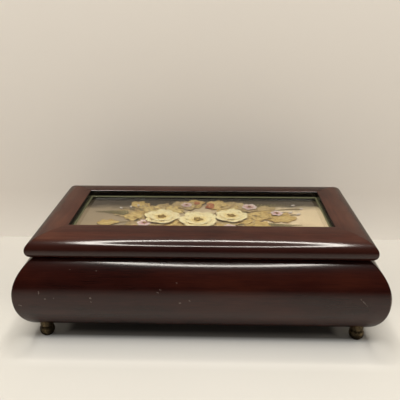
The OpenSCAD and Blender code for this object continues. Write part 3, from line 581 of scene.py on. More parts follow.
    def ragged(self, scale: float, by: float) -> Socket:
        """The place, pushed about by noise.

        Args:
            scale: of the noise, in features per metre.
            by: about how far, in millimetres.

        Returns:
            The pushed place.
        """
        node = self.nodes.new("ShaderNodeTexNoise")
        self.put(node.inputs["Vector"], self.place)
        node.inputs["Scale"].default_value = scale
        push = self.vector("SUBTRACT", node.outputs["Color"], (0.5, 0.5, 0.5)).outputs["Vector"]
        push = self.vector("SCALE", push, scale=4 * by * MM).outputs["Vector"]
        return self.vector("ADD", self.place, push).outputs["Vector"]

    def stroke(self, place: object, start: Point, end: Point, radius: float) -> Socket:
        """A soft mask round a short line.

        The distance from p to the line a..b is |(p - a) - clamp((p - a) . d / d . d) x d| with d = b - a.

        Args:
            place: where the mask is read.
            start: one end of the line, in millimetres.
            end: its other end.
            radius: how far from the line the mask reaches, in millimetres.

        Returns:
            1 near the line, and 0 from the radius on.
        """
        a = Vector(start) * MM
        d = (Vector(end) - Vector(start)) * MM
        away = self.vector("SUBTRACT", place, tuple(a)).outputs["Vector"]
        share = self.vector("DOT_PRODUCT", away, tuple(d / max(d.length_squared, 1e-12))).outputs["Value"]
        share = self.math("ADD", share, 0.0, clamp=True)
        foot = self.vector("SCALE", tuple(d), scale=share).outputs["Vector"]
        gap = self.vector("DISTANCE", away, foot).outputs["Value"]
        core = 0.45 * radius
        return self.remap(gap, core * MM, radius * MM, 1.0, 0.0)

    def beyond(self, half_x: float, half_y: float) -> Socket:
        """How far a place lies outside an upright rectangle: max(|x| - half_x, |y| - half_y).

        Args:
            half_x: half the rectangle's width, in millimetres.
            half_y: half its depth, in millimetres.

        Returns:
            The distance in metres, below 0 inside.
        """
        out_x = self.math("SUBTRACT", self.math("ABSOLUTE", self.axis(self.place, 0)), half_x * MM)
        out_y = self.math("SUBTRACT", self.math("ABSOLUTE", self.axis(self.place, 1)), half_y * MM)
        return self.math("MAXIMUM", out_x, out_y)

    def shader(self, **sockets: object) -> Node:
        """A Principled shader.

        Args:
            **sockets: values for its inputs; underscores stand for the spaces in their names.

        Returns:
            The shader's node.
        """
        node = self.nodes.new("ShaderNodeBsdfPrincipled")
        for key, value in sockets.items():
            self.put(node.inputs[key.replace("_", " ")], value)
        return node

    def mixed(self, share: Socket, a: Node, b: Node) -> Node:
        """Mixes two shaders.

        Args:
            share: how much of the second there is.
            a: the first shader.
            b: the second shader.

        Returns:
            The mixing node.
        """
        node = self.nodes.new("ShaderNodeMixShader")
        self.links.new(share, node.inputs["Fac"])
        self.links.new(a.outputs[0], node.inputs[1])
        self.links.new(b.outputs[0], node.inputs[2])
        return node

    def finish(self, node: Node) -> Material:
        """Joins the last shader to the output, and gives back the material."""
        self.links.new(node.outputs[0], self.output.inputs["Surface"])
        return self.material

    def clear_to_shadows(self, node: Node, colour: Colour) -> Material:
        """Lets light through to and from matt surfaces, and keeps the shader for what is seen.

        Args:
            node: the glass's shader.
            colour: what the light is tinted with.

        Returns:
            The material.
        """
        through = self.nodes.new("ShaderNodeBsdfTransparent")
        through.inputs["Color"].default_value = (*colour, 1.0)
        path = self.nodes.new("ShaderNodeLightPath")
        share = self.math("MAXIMUM", path.outputs["Is Shadow Ray"], path.outputs["Is Diffuse Ray"])
        return self.finish(self.mixed(share, node, through))


@dataclass(frozen=True)
class Mark:
    """A nick or scratch: a short line with a radius and how pale it is.

    As listed, y is the distance in from the front's widest line, and back() takes it to its place.
    """

    start: Point
    end: Point
    radius: float
    pale: float = 0.6

    def back(self, distance: float) -> "Mark":
        """The same mark, moved back by a distance in millimetres."""
        ends = [(p[0], p[1] + distance, p[2]) for p in (self.start, self.end)]
        return Mark(ends[0], ends[1], self.radius, self.pale)


@dataclass(frozen=True)
class Lacquer:
    """Mahogany stained dark red under a gloss lacquer, with pores, a few specks and nicks.

    The opening and the nose shade are half sizes: the wood is left unlit inside the one, and near the
    other's edge the colour darkens, a painted shade on the lid's outward-facing nose.
    """

    grain: Grain
    # The default tones are the case's: its stain, made darker than the lid's as painted shade on sides that
    # get less light.
    dark: Colour = (0.010, 0.0018, 0.0015)
    middle: Colour = (0.027, 0.0050, 0.0032)
    light: Colour = (0.056, 0.0125, 0.0062)
    gloss: float = 0.13
    marks: tuple[Mark, ...] = ()
    opening: Optional[tuple[float, float]] = None
    nose_shade_half: Optional[tuple[float, float]] = None
    nick: Colour = (0.52, 0.42, 0.36)
    unlit: Colour = (0.006, 0.004, 0.0035)
    nose: tuple[float, float] = (-6.5, -2.0)
    nose_shade_share: float = 0.78
    opening_edge: float = 0.3

    def wear(self, t: Tree) -> Socket:
        """Fine specks in some Voronoi cells, and the marks with broken edges.

        Args:
            t: the material's tree.

        Returns:
            How worn a place is, from 0 to 1.
        """
        cells_per_metre, chosen_above, speck_worn = 62, 0.72, 0.35
        gap, random = t.cells(t.place, cells_per_metre)
        chosen = t.math("GREATER_THAN", t.axis(random, 0), chosen_above)
        speck = t.math("MULTIPLY", t.remap(gap, 0.012, 0.022, 1.0, 0.0), chosen)
        worn = t.math("MULTIPLY", speck, speck_worn)
        broken = t.remap(t.noise(t.place, 2600, detail=3), 0.42, 0.56, 0.2, 1.0)
        ragged = t.ragged(1900, 0.32)
        for mark in self.marks:
            mask = t.math("MULTIPLY", t.stroke(ragged, mark.start, mark.end, mark.radius), mark.pale)
            worn = t.math("MAXIMUM", worn, t.math("MULTIPLY", mask, broken))
        return worn

    def material(self, name: str) -> Material:
        """Builds the finish: stained wood under a clear coat, darker at the nose and in the opening.

        Args:
            name: of the material.

        Returns:
            The material.
        """
        t = Tree(name)
        fibre = t.noise(t.mapped(self.grain.stretch(11, 330)), detail=4, rough=0.6, warp=0.6)
        pore = t.noise(t.mapped(self.grain.stretch(90, 2300)), detail=2, rough=0.6)
        tone = t.noise(t.mapped(self.grain.stretch(14, 40)), detail=3)
        fibre_share, pore_share, tone_share = 0.20, 0.24, 0.56
        blend = t.math("ADD", t.math("MULTIPLY", fibre, fibre_share), t.math("MULTIPLY", pore, pore_share))
        blend = t.math("ADD", blend, t.math("MULTIPLY", tone, tone_share))
        colour = t.ramp(blend, ((0.36, self.dark), (0.52, self.middle), (0.70, self.light)))
        worn = self.wear(t)
        colour = t.mix(worn, colour, self.nick)
        # Painted shade: the colour darkens towards the lid's outward-facing nose.
        if self.nose_shade_half:
            start, end = self.nose[0] * MM, self.nose[1] * MM
            nose = t.remap(t.beyond(*self.nose_shade_half), start, end, 0.0, self.nose_shade_share, smooth_step=True)
            colour = t.mix(nose, colour, self.dark)
        if self.opening:
            inside = t.math("LESS_THAN", t.beyond(*self.opening), self.opening_edge * MM)
            colour = t.mix(inside, colour, self.unlit)
        smudge = t.noise(t.place, 38, detail=4, rough=0.6)
        rough = t.math("ADD", t.remap(smudge, 0.35, 0.7, 0.30, 0.42), t.math("MULTIPLY", worn, 0.35))
        relief = t.math("ADD", t.math("MULTIPLY", pore, 0.7), t.math("MULTIPLY", worn, -2.0))
        wood = t.bump(relief, 0.5, 0.00006)
        peel = t.noise(t.place, 260, detail=2)
        coat = t.bump(t.math("ADD", peel, t.math("MULTIPLY", worn, -3.0)), 0.5, 0.000012)
        return t.finish(t.shader(Base_Color=colour, Roughness=rough, Normal=wood,
                                 Specular_IOR_Level=0.05, Coat_Weight=1.0, Coat_Roughness=self.gloss,
                                 Coat_IOR=1.45, Coat_Normal=coat))


@dataclass(frozen=True)
class RawWood:
    """Plain brown wood inside the box, planed and left matt."""

    grain: Grain
    dark: Colour = (0.10, 0.052, 0.026)
    light: Colour = (0.27, 0.155, 0.082)

    def material(self, name: str) -> Material:
        """Builds the finish.

        Args:
            name: of the material.

        Returns:
            The material.
        """
        t = Tree(name)
        fibre = t.noise(t.mapped(self.grain.stretch(9, 300)), detail=5, rough=0.6, warp=0.5)
        pore = t.noise(t.mapped(self.grain.stretch(80, 2400)), detail=2)
        blend = t.math("ADD", t.math("MULTIPLY", fibre, 0.7), t.math("MULTIPLY", pore, 0.3))
        colour = t.ramp(blend, ((0.36, self.dark), (0.62, self.light)))
        return t.finish(t.shader(Base_Color=colour, Roughness=t.remap(pore, 0.3, 0.7, 0.55, 0.72),
                                 Normal=t.bump(blend, 0.6, 0.0001)))


@dataclass(frozen=True)
class Metal:
    """A metal with brushing or turning, tarnish in patches and fine scratches."""

    bright: Colour
    tarnish: Colour
    rough: float = 0.28
    grain: Grain = Grain.ALONG_X
    patina: float = 0.35
    lines: float = 3200.0

    def material(self, name: str) -> Material:
        """Builds the finish.

        Args:
            name: of the material.

        Returns:
            The material.
        """
        t = Tree(name)
        brush = t.noise(t.mapped(self.grain.stretch(70, self.lines)), detail=2, rough=0.6)
        patch = t.noise(t.place, 210, detail=5, rough=0.65)
        fine = t.noise(t.place, 1900, detail=2)
        dull = t.remap(t.math("ADD", t.math("MULTIPLY", patch, 0.7), t.math("MULTIPLY", fine, 0.3)),
                       0.62 - 0.35 * self.patina, 0.74 - 0.2 * self.patina, 0.0, 1.0, smooth_step=True)
        colour = t.mix(t.remap(brush, 0.35, 0.65), self.bright, tuple(0.78 * c for c in self.bright))
        colour = t.mix(dull, colour, self.tarnish)
        rough = t.math("ADD", t.remap(brush, 0.3, 0.7, self.rough * 0.8, self.rough * 1.3),
                       t.math("MULTIPLY", dull, 0.22))
        relief = t.math("ADD", brush, t.math("MULTIPLY", dull, -0.5))
        return t.finish(t.shader(Base_Color=colour, Metallic=1.0, Roughness=rough,
                                 Normal=t.bump(relief, 0.35, 0.00003)))


@dataclass(frozen=True)
class Velvet:
    """Cut-pile velvet: fine tufts, a nap brushed one way in places, and a sheen at the edges."""

    deep: Colour = (0.045, 0.003, 0.006)
    high: Colour = (0.155, 0.011, 0.021)
    sheen: Colour = (0.75, 0.27, 0.29)

    def material(self, name: str) -> Material:
        """Builds the finish.

        Args:
            name: of the material.

        Returns:
            The material.
        """
        t = Tree(name)
        tuft = t.noise(t.place, 2600, detail=2, rough=0.7)
        nap = t.noise(t.mapped((26, 48, 30)), detail=4, rough=0.6, warp=1.2)
        blend = t.math("ADD", t.math("MULTIPLY", nap, 0.65), t.math("MULTIPLY", tuft, 0.35))
        colour = t.ramp(blend, ((0.36, self.deep), (0.66, self.high)))
        normal = t.bump(tuft, 0.7, 0.0002, t.bump(nap, 0.4, 0.0006))
        return t.finish(t.shader(Base_Color=colour, Roughness=0.95, Specular_IOR_Level=0.15, Normal=normal,
                                 Sheen_Weight=0.7, Sheen_Roughness=0.35, Sheen_Tint=self.sheen))


@dataclass(frozen=True)
class Clear:
    """Glass or acrylic that lets light through to what lies behind it."""

    tint: Colour
    ior: float = 1.5
    rough: float = 0.0
    shade: Colour = (0.90, 0.93, 0.90)

    def material(self, name: str) -> Material:
        """Builds the finish.

        Args:
            name: of the material.

        Returns:
            The material.
        """
        t = Tree(name)
        film = t.noise(t.place, 55, detail=5, rough=0.6)
        fine = t.noise(t.place, 900, detail=2)
        haze = t.remap(t.math("ADD", t.math("MULTIPLY", film, 0.8), t.math("MULTIPLY", fine, 0.2)),
                       0.48, 0.72, self.rough, self.rough + 0.05)
        colour = t.mix(t.remap(film, 0.4, 0.7, 0.0, 0.25), self.tint, tuple(0.93 * c for c in self.tint))
        node = t.shader(Base_Color=colour, Roughness=haze, IOR=self.ior, Transmission_Weight=1.0)
        return t.clear_to_shadows(node, self.shade)


@dataclass(frozen=True)
class Card:
    """Paper or card with fibres and age stains; it can turn from one tone to another along X, and take a
    painted shade towards its back.
    """

    left: Colour
    right: Colour
    stain: Colour
    spread: tuple[float, float] = (-60.0, 50.0)
    painted_shade_from: Optional[float] = None
    rough: float = 0.8
    # The colour of the painted shade towards the back.
    shade: Colour = (0.040, 0.028, 0.018)
    painted_shade_run: float = 12.0

    def material(self, name: str) -> Material:
        """Builds the finish.

        Args:
            name: of the material.

        Returns:
            The material.
        """
        t = Tree(name)
        fibre = t.noise(t.mapped((900, 1700, 900)), detail=4, rough=0.65, warp=0.8)
        cloud = t.noise(t.place, 30, detail=4, rough=0.6)
        side = t.remap(t.axis(t.place, 0), self.spread[0] * MM, self.spread[1] * MM, smooth_step=True)
        colour = t.mix(side, self.left, self.right)
        colour = t.mix(t.remap(cloud, 0.5, 0.72, 0.0, 0.5), colour, self.stain)
        colour = t.mix(t.remap(fibre, 0.4, 0.66, 0.0, 0.22), colour, tuple(0.7 * c for c in self.left))
        # Painted shade: the card darkens towards its back, where shade falls under the lid's back rail.
        if self.painted_shade_from is not None:
            wander = t.math("MULTIPLY", t.math("SUBTRACT", cloud, 0.5), 0.045)
            far = t.math("ADD", t.axis(t.place, 1), wander)
            start, end = self.painted_shade_from * MM, (self.painted_shade_from + self.painted_shade_run) * MM
            colour = t.mix(t.remap(far, start, end, 0.0, 0.93, smooth_step=True), colour, self.shade)
        return t.finish(t.shader(Base_Color=colour, Roughness=self.rough, Specular_IOR_Level=0.3,
                                 Normal=t.bump(fibre, 0.5, 0.00008)))


@dataclass(frozen=True)
class DriedLeaf:
    """A pressed leaf: side veins off a midrib, mottled between them, browned at its edge."""

    blade: Colour
    pale: Colour
    brown: Colour
    veins: int = 9
    sweep: float = 0.22

    def material(self, name: str) -> Material:
        """Builds the finish. The map's u runs along the leaf and v once round its section.

        Args:
            name: of the material.

        Returns:
            The material.
        """
        t = Tree(name)
        uv = t.nodes.new("ShaderNodeUVMap").outputs["UV"]
        along = t.axis(uv, 0)
        side = t.math("ABSOLUTE", t.math("SUBTRACT", t.math("MULTIPLY", t.axis(uv, 1), 4.0), 1.0))
        side = t.math("MINIMUM", side, 1.0)
        swept = t.math("SUBTRACT", along, t.math("MULTIPLY", side, self.sweep))
        phase = t.math("MULTIPLY", swept, float(self.veins))
        vein = t.math("ABSOLUTE", t.math("SUBTRACT", t.math("FRACT", phase), 0.5))
        vein = t.math("MAXIMUM", t.remap(vein, 0.03, 0.13, 0.8, 0.0), t.remap(side, 0.02, 0.09, 1.0, 0.0))
        mottle = t.noise(t.place, 420, detail=5, rough=0.65)
        cloud = t.math("ADD", t.math("MULTIPLY", t.noise(t.place, 110, detail=3), 0.6),
                       t.math("MULTIPLY", t.attribute("tint"), 0.4))
        colour = t.mix(t.remap(cloud, 0.35, 0.65), self.blade, self.pale)
        colour = t.mix(t.remap(mottle, 0.45, 0.7, 0.0, 0.65), colour, self.brown)
        edge = t.math("MULTIPLY", t.remap(side, 0.72, 1.0), t.remap(mottle, 0.38, 0.56))
        colour = t.mix(t.math("MULTIPLY", edge, 0.75), colour, self.brown)
        colour = t.mix(t.math("MULTIPLY", vein, 0.55), colour, tuple(min(1.0, 1.5 * c) for c in self.pale))
        relief = t.math("ADD", vein, t.math("MULTIPLY", mottle, 0.6))
        return t.finish(t.shader(Base_Color=colour, Roughness=0.66, Specular_IOR_Level=0.3,
                                 Normal=t.bump(relief, 0.8, 0.00015)))


@dataclass(frozen=True)
class DriedPetal:
    """A pressed petal: fine streaks from its foot, deeper there, and a thin browned rim."""

    foot: Colour
    blade: Colour
    tip: Colour
    brown: Colour

    def material(self, name: str) -> Material:
        """Builds the finish. The map's u runs from foot to tip and v once round the section.

        Args:
            name: of the material.

        Returns:
            The material.
        """
        t = Tree(name)
        uv = t.nodes.new("ShaderNodeUVMap").outputs["UV"]
        along = t.axis(uv, 0)
        streak = t.noise(t.mapped((2.0, 46.0, 1.0), uv), detail=3, rough=0.6)
        mottle = t.noise(t.place, 500, detail=4, rough=0.6)
        reach = t.math("ADD", along, t.math("MULTIPLY", t.math("SUBTRACT", streak, 0.5), 0.5))
        colour = t.ramp(reach, ((0.08, self.foot), (0.42, self.blade), (0.85, self.tip)))
        colour = t.mix(t.remap(streak, 0.52, 0.7, 0.0, 0.35), colour, self.foot)
        shift = t.math("MULTIPLY", t.attribute("tint"), 0.35)
        colour = t.mix(t.math("MULTIPLY", t.remap(mottle, 0.5, 0.72), shift), colour, self.brown)
        rim = t.math("MULTIPLY", t.remap(along, 0.86, 1.0), t.remap(mottle, 0.42, 0.6))
        colour = t.mix(t.math("MULTIPLY", rim, 0.6), colour, self.brown)
        return t.finish(t.shader(Base_Color=colour, Roughness=0.7, Specular_IOR_Level=0.25,
                                 Normal=t.bump(streak, 0.6, 0.00012)))


BRASS = Metal((0.72, 0.53, 0.25), (0.30, 0.19, 0.08), 0.26)
WHEEL_BRASS = Metal((0.80, 0.62, 0.30), (0.42, 0.27, 0.11), 0.20, Grain.ALONG_Z, 0.2, 2600.0)
PLATE_BRASS = Metal((0.70, 0.55, 0.28), (0.36, 0.26, 0.13), 0.34, Grain.ALONG_Y, 0.3, 2200.0)
FOOT_BRASS = Metal((0.40, 0.300, 0.165), (0.060, 0.045, 0.028), 0.34, Grain.ALONG_Z, 0.85, 900.0)
CAST = Metal((0.52, 0.515, 0.49), (0.40, 0.395, 0.375), 0.44, Grain.ALONG_Z, 0.35, 500.0)
SPRING_STEEL = Metal((0.20, 0.215, 0.25), (0.09, 0.085, 0.08), 0.30, Grain.ALONG_Z, 0.3, 2400.0)
COMB_STEEL = Metal((0.60, 0.61, 0.62), (0.34, 0.33, 0.31), 0.24, Grain.ALONG_X, 0.25, 3800.0)
BRIGHT_STEEL = Metal((0.62, 0.625, 0.63), (0.33, 0.32, 0.30), 0.22, Grain.ALONG_Z, 0.2, 3000.0)
VELVET = Velvet()
ROLL_VELVET = Velvet((0.055, 0.0035, 0.007), (0.19, 0.014, 0.026), (0.8, 0.30, 0.32))
PANE_GLASS = Clear((0.965, 0.975, 0.955), 1.5, 0.004, (0.90, 0.905, 0.885))
COVER_ACRYLIC = Clear((0.985, 0.99, 0.99), 1.49, 0.003, (0.95, 0.955, 0.95))
PICTURE_PAPER = Card((0.39, 0.300, 0.205), (0.95, 0.76, 0.52), (0.52, 0.37, 0.22), painted_shade_from=9.5)
SPACER_CARD = Card((0.014, 0.012, 0.010), (0.014, 0.012, 0.010), (0.03, 0.024, 0.018))
# Painted glint: a matt pale green-gold that stands for the green glass bevel catching light.
BEVEL_GLINT_PAINT = Card((0.20, 0.20, 0.115), (0.20, 0.20, 0.115), (0.12, 0.12, 0.07), rough=0.4)
TAN_LEAF = DriedLeaf((0.46, 0.330, 0.165), (0.62, 0.470, 0.255), (0.22, 0.125, 0.050))
GOLDEN_LEAF = DriedLeaf((0.64, 0.430, 0.155), (0.80, 0.590, 0.265), (0.34, 0.175, 0.060))
HEART = DriedLeaf((0.42, 0.25, 0.05), (0.58, 0.40, 0.10), (0.22, 0.11, 0.03))
STEM = DriedLeaf((0.27, 0.20, 0.085), (0.40, 0.31, 0.15), (0.15, 0.09, 0.04))
FERN = DriedLeaf((0.20, 0.175, 0.075), (0.33, 0.28, 0.13), (0.13, 0.085, 0.035), 3)
CREAM_PETAL = DriedPetal((0.62, 0.40, 0.11), (0.97, 0.78, 0.40), (0.98, 0.88, 0.58), (0.66, 0.40, 0.14))
PINK_PETAL = DriedPetal((0.50, 0.20, 0.24), (0.76, 0.50, 0.50), (0.82, 0.70, 0.68), (0.48, 0.22, 0.20))
BUD = DriedPetal((0.35, 0.28, 0.12), (0.78, 0.62, 0.60), (0.86, 0.80, 0.78), (0.45, 0.26, 0.18))
RUSSET_PETAL = DriedPetal((0.30, 0.07, 0.03), (0.46, 0.14, 0.06), (0.56, 0.24, 0.12), (0.20, 0.06, 0.03))


# --- Case and lid ---


def mitred(section: Array, length: float, across: float, corner: float, spans: int = 10) -> Array:
    """Rings of a front rail: a closed section carried along X and mitred at both ends.

    A point of the section at (s, z) runs along y = -(across - s) and turns through 45 degrees of a
    corner circle of radius r = corner x (1 - s / taper) at either end, where it meets the mitre plane.
    The end rings lie a groove's depth inside the section, which leaves a fine line along the mitre.

    Args:
        section: (distance in from the widest line, height) round the section, as (n, 2).
        length: half the length at the widest line.
        across: distance from the middle to the widest line.
        corner: corner radius in plan at the widest line.
        spans: rings along the straight part.

    Returns:
        Rings for Shell.tube.
    """
    groove, lead, end_lead = 0.10, 0.16, 0.01
    taper, least_radius = 20.0, 0.03
    edge = np.roll(section, -1, 0) - np.roll(section, 1, 0)
    normal = np.stack([-edge[:, 1], edge[:, 0]], -1)
    normal /= np.maximum(np.linalg.norm(normal, axis=1, keepdims=True), 1e-9)
    area = np.sum(section[:, 0] * np.roll(section[:, 1], -1) - np.roll(section[:, 0], -1) * section[:, 1])
    inner = section + normal * groove * np.sign(area)
    turn = np.radians(np.linspace(45, 0, 8))
    stations = [(-1.0, a) for a in turn] + [(u, 0.0) for u in np.linspace(-1, 1, spans)[1:-1]]
    stations += [(1.0, a) for a in turn[::-1]]
    u = np.array([s[0] for s in stations])[:, None]
    a = np.array([s[1] for s in stations])[:, None]

    def place(shape: Array, u: Array, a: Array, back: float) -> Array:
        """Puts a shape at stations along the rail.

        Args:
            shape: a section.
            u: each station's share of the straight part.
            a: each station's angle round the corner, in radians.
            back: how far the stations keep from the mitre.

        Returns:
            One ring for each station.
        """
        s = shape[None, :, 0]
        r = corner * np.clip(1 - s / taper, 0, 1) + least_radius
        x = u * (length - s - r) + np.sign(u) * (r * np.sin(a) - back)
        y = -(across - s - r) - r * np.cos(a)
        return np.stack([x, y, np.broadcast_to(shape[None, :, 1], x.shape)], -1)

    rings = place(section, u, a, 0.0)
    rings[0, :, 0] += lead
    rings[-1, :, 0] -= lead
    ends = place(inner, u[[0, -1]], a[[0, -1]], end_lead)
    return np.concatenate([ends[:1], rings, ends[1:]])


def cut_out(piece: bpy.types.Object, cutters: Sequence[Shell], crease: float) -> None:
    """Takes shapes out of a piece one after another, and keeps the result as the piece's mesh.

    Args:
        piece: what is cut.
        cutters: the shapes, none of which overlaps itself.
        crease: the angle from which the result's edges stay sharp, in degrees.
    """
    for cutter in cutters:
        tool = cutter.piece("cutter", piece.data.materials[0], "case", "case_wood")
        change = piece.modifiers.new("cut", "BOOLEAN")
        change.operation = "DIFFERENCE"
        change.solver = "EXACT"
        change.object = tool
        graph = bpy.context.evaluated_depsgraph_get()
        made = bpy.data.meshes.new_from_object(piece.evaluated_get(graph), depsgraph=graph)
        made.name = piece.name
        piece.modifiers.clear()
        piece.data = made
        bpy.data.objects.remove(tool)
    smooth(piece.data, crease)


@dataclass(frozen=True)
class Hinges:
    """Where the two butt hinges let into the back rails."""

    spread: float = (HINGE_LOW[0] + HINGE_HIGH[0]) / 2
    pin_y: float = (PIN_LOW[1] + PIN_HIGH[1]) / 2
    pin_z: float = (PIN_LOW[2] + PIN_HIGH[2]) / 2
    length: float = HINGE_HIGH[0] - HINGE_LOW[0] + 0.2
    leaf: float = 8.7
    past_pin: float = 0.3
    depth: float = 0.9
    open_side: float = 1.0
    knuckle: float = 1.65

    def mortises(self, side: int) -> list[Shell]:
        """The recesses as cutters.

        Args:
            side: 1 for the lid's rail and -1 for the case's.

        Returns:
            The boxes for the leaves, and the round channels for the knuckles.
        """
        low, high = (-self.open_side, self.depth) if side > 0 else (-self.depth, self.open_side)
        y0, y1 = self.pin_y - self.leaf, self.pin_y + self.past_pin
        z0, z1 = self.pin_z + low, self.pin_z + high
        leaf = np.array([[y0, z0], [y1, z0], [y1, z1], [y0, z1]])
        knuckle = circle(self.knuckle, 32) + np.array([self.pin_y, self.pin_z])
        return [self.carried(leaf), self.carried(knuckle)]

    def carried(self, outline: Array) -> Shell:
        """Carries an outline over the length of both hinges.

        Args:
            outline: points as (n, 2), in Y and Z.

        Returns:
            Two prisms.
        """
        shell = Shell()
        for middle in (-self.spread, self.spread):
            places = (middle - self.length / 2, middle + self.length / 2)
            shell.tube(np.stack([np.insert(outline, 0, x, axis=1) for x in places]))
        return shell


@dataclass(frozen=True)
class CaseMouldings:
    """The four bombe rails of the case, mitred at the corners."""

    half_w: float = CASE_HIGH[0]
    half_d: float = -CASE_LOW[1]
    underside: float = CASE_LOW[2]
    rim: float = CASE_HIGH[2]
    bulge_height: float = 23.5
    under_run: float = 17.3
    under_fullness: float = 2.15
    upper_run: float = 25.0
    upper_share: float = 0.84
    thickness: float = CASE_HIGH[1] - CASE_LOW[1]
    groove_depth: float = 3.0
    rim_round: float = 0.6
    inner_round: float = 0.4
    corner: float = 1.3
    hinges: Hinges = Hinges()

    def section(self) -> Array:
        """The section's points.

        Below the widest line: s = run x (1 - cos^k a), z = widest - drop x sin^k a, where k is 2 over the
        fullness. Above it: s = upper run x (1 - cos a), z = widest + rise x sin a, up to the angle whose
        sine is the share, then the rim with its rounded edges, the inner face, the groove for the base
        panel, and the underside.

        Returns:
            Distances in from the widest line and heights, as (n, 2).
        """
        low = np.radians(90 * np.linspace(1, 0, 44) ** 1.3)[:-1]
        widest = self.underside + self.bulge_height
        power = 2 / self.under_fullness
        lower = np.stack([self.under_run * (1 - np.maximum(np.cos(low), 0) ** power),
                          widest - self.bulge_height * np.sin(low) ** power], -1)
        top = math.asin(self.upper_share)
        rise = (self.rim - widest) / self.upper_share
        up = np.linspace(0, top - 0.022, 30)
        upper = np.stack([self.upper_run * (1 - np.cos(up)), widest + rise * np.sin(up)], -1)
        rim_s = self.upper_run * (1 - math.cos(top))
        outer, inside = self.rim_round, self.inner_round
        edge = arc((rim_s + outer + 0.02, self.rim - outer), (outer, outer), 140, 90, 5)
        inner = arc((self.thickness - inside, self.rim - inside), (inside, inside), 90, 0, 5)
        t, bottom = self.thickness, self.thickness - self.groove_depth
        z0, z1 = BASE_LOW[2], BASE_HIGH[2]
        groove = np.array([[t, z1], [bottom, z1], [bottom, z0], [t, z0], [t, self.underside]])
        return np.concatenate([lower, upper, edge, inner, groove])

    def build(self) -> None:
        """Builds, dresses and places the four rails."""
        marks = (
            Mark((-89.9, 0.5, 38.1), (-89.8, 0.3, 36.6), 0.34, 0.5),
            Mark((-86.9, 0, 33.7), (-86.2, 0, 33.6), 0.42, 0.4),
            Mark((-61.3, 0, 34.5), (-60.6, 0, 34.3), 0.42, 0.75),
            Mark((-61, 0, 32.3), (-60.6, 0, 32), 0.30, 0.35),
            Mark((-81.9, 0, 34.4), (-81.6, 0, 34.2), 0.30, 0.5),
            Mark((-11.2, 0, 32.3), (-10.6, 0, 32), 0.46, 0.6),
            Mark((-5.6, 0, 33.6), (-5.3, 0, 33.5), 0.32, 0.5),
            Mark((-22.2, 0.9, 39.9), (-21.4, 0.9, 39.7), 0.32, 0.45),
            Mark((-23.8, 0.6, 38.6), (-22.9, 0.5, 38.2), 0.36, 0.3),
            Mark((-12.8, 2.3, 43.6), (-12.6, 2.3, 43.5), 0.26, 0.5),
            Mark((-56.2, 8.9, 52.2), (-55.7, 8.9, 52.2), 0.40, 0.4),
            Mark((-57.9, 5.6, 48.9), (-57.6, 5.6, 48.8), 0.30, 0.5),
            Mark((-72.9, 6, 49.3), (-72.4, 6, 49.2), 0.34, 0.35),
            Mark((-101.9, 0.1, 29.5), (-100.4, 0.1, 29), 0.34, 0.4),
            Mark((88.6, 0.1, 35.8), (92.6, 0, 31.7), 0.22, 0.45),
            Mark((105.6, 0.6, 38.2), (105.8, 0.3, 30.2), 0.95, 0.62),
            Mark((105.7, 0.4, 29), (105.2, 0.8, 25.6), 0.8, 0.4),
        )
        section = self.section()
        for side in Side:
            ends = side in (Side.LEFT, Side.RIGHT)
            length, across = (self.half_d, self.half_w) if ends else (self.half_w, self.half_d)
            shown = tuple(m.back(-self.half_d) for m in marks) if side in (Side.FRONT, Side.RIGHT) else ()
            name = f"case_moulding_{side.name.lower()}"
            finish = Lacquer(side.grain, marks=shown).material(f"{name}_lacquer")
            rings = side.carry(mitred(section, length, across, self.corner))
            made = Shell().tube(rings).piece(name, finish, "case", "case_wood",
                                             [f"case_{side.name.lower()}_rail"], 30)
            if side is Side.BACK:
                cut_out(made, self.hinges.mortises(-1), 30)


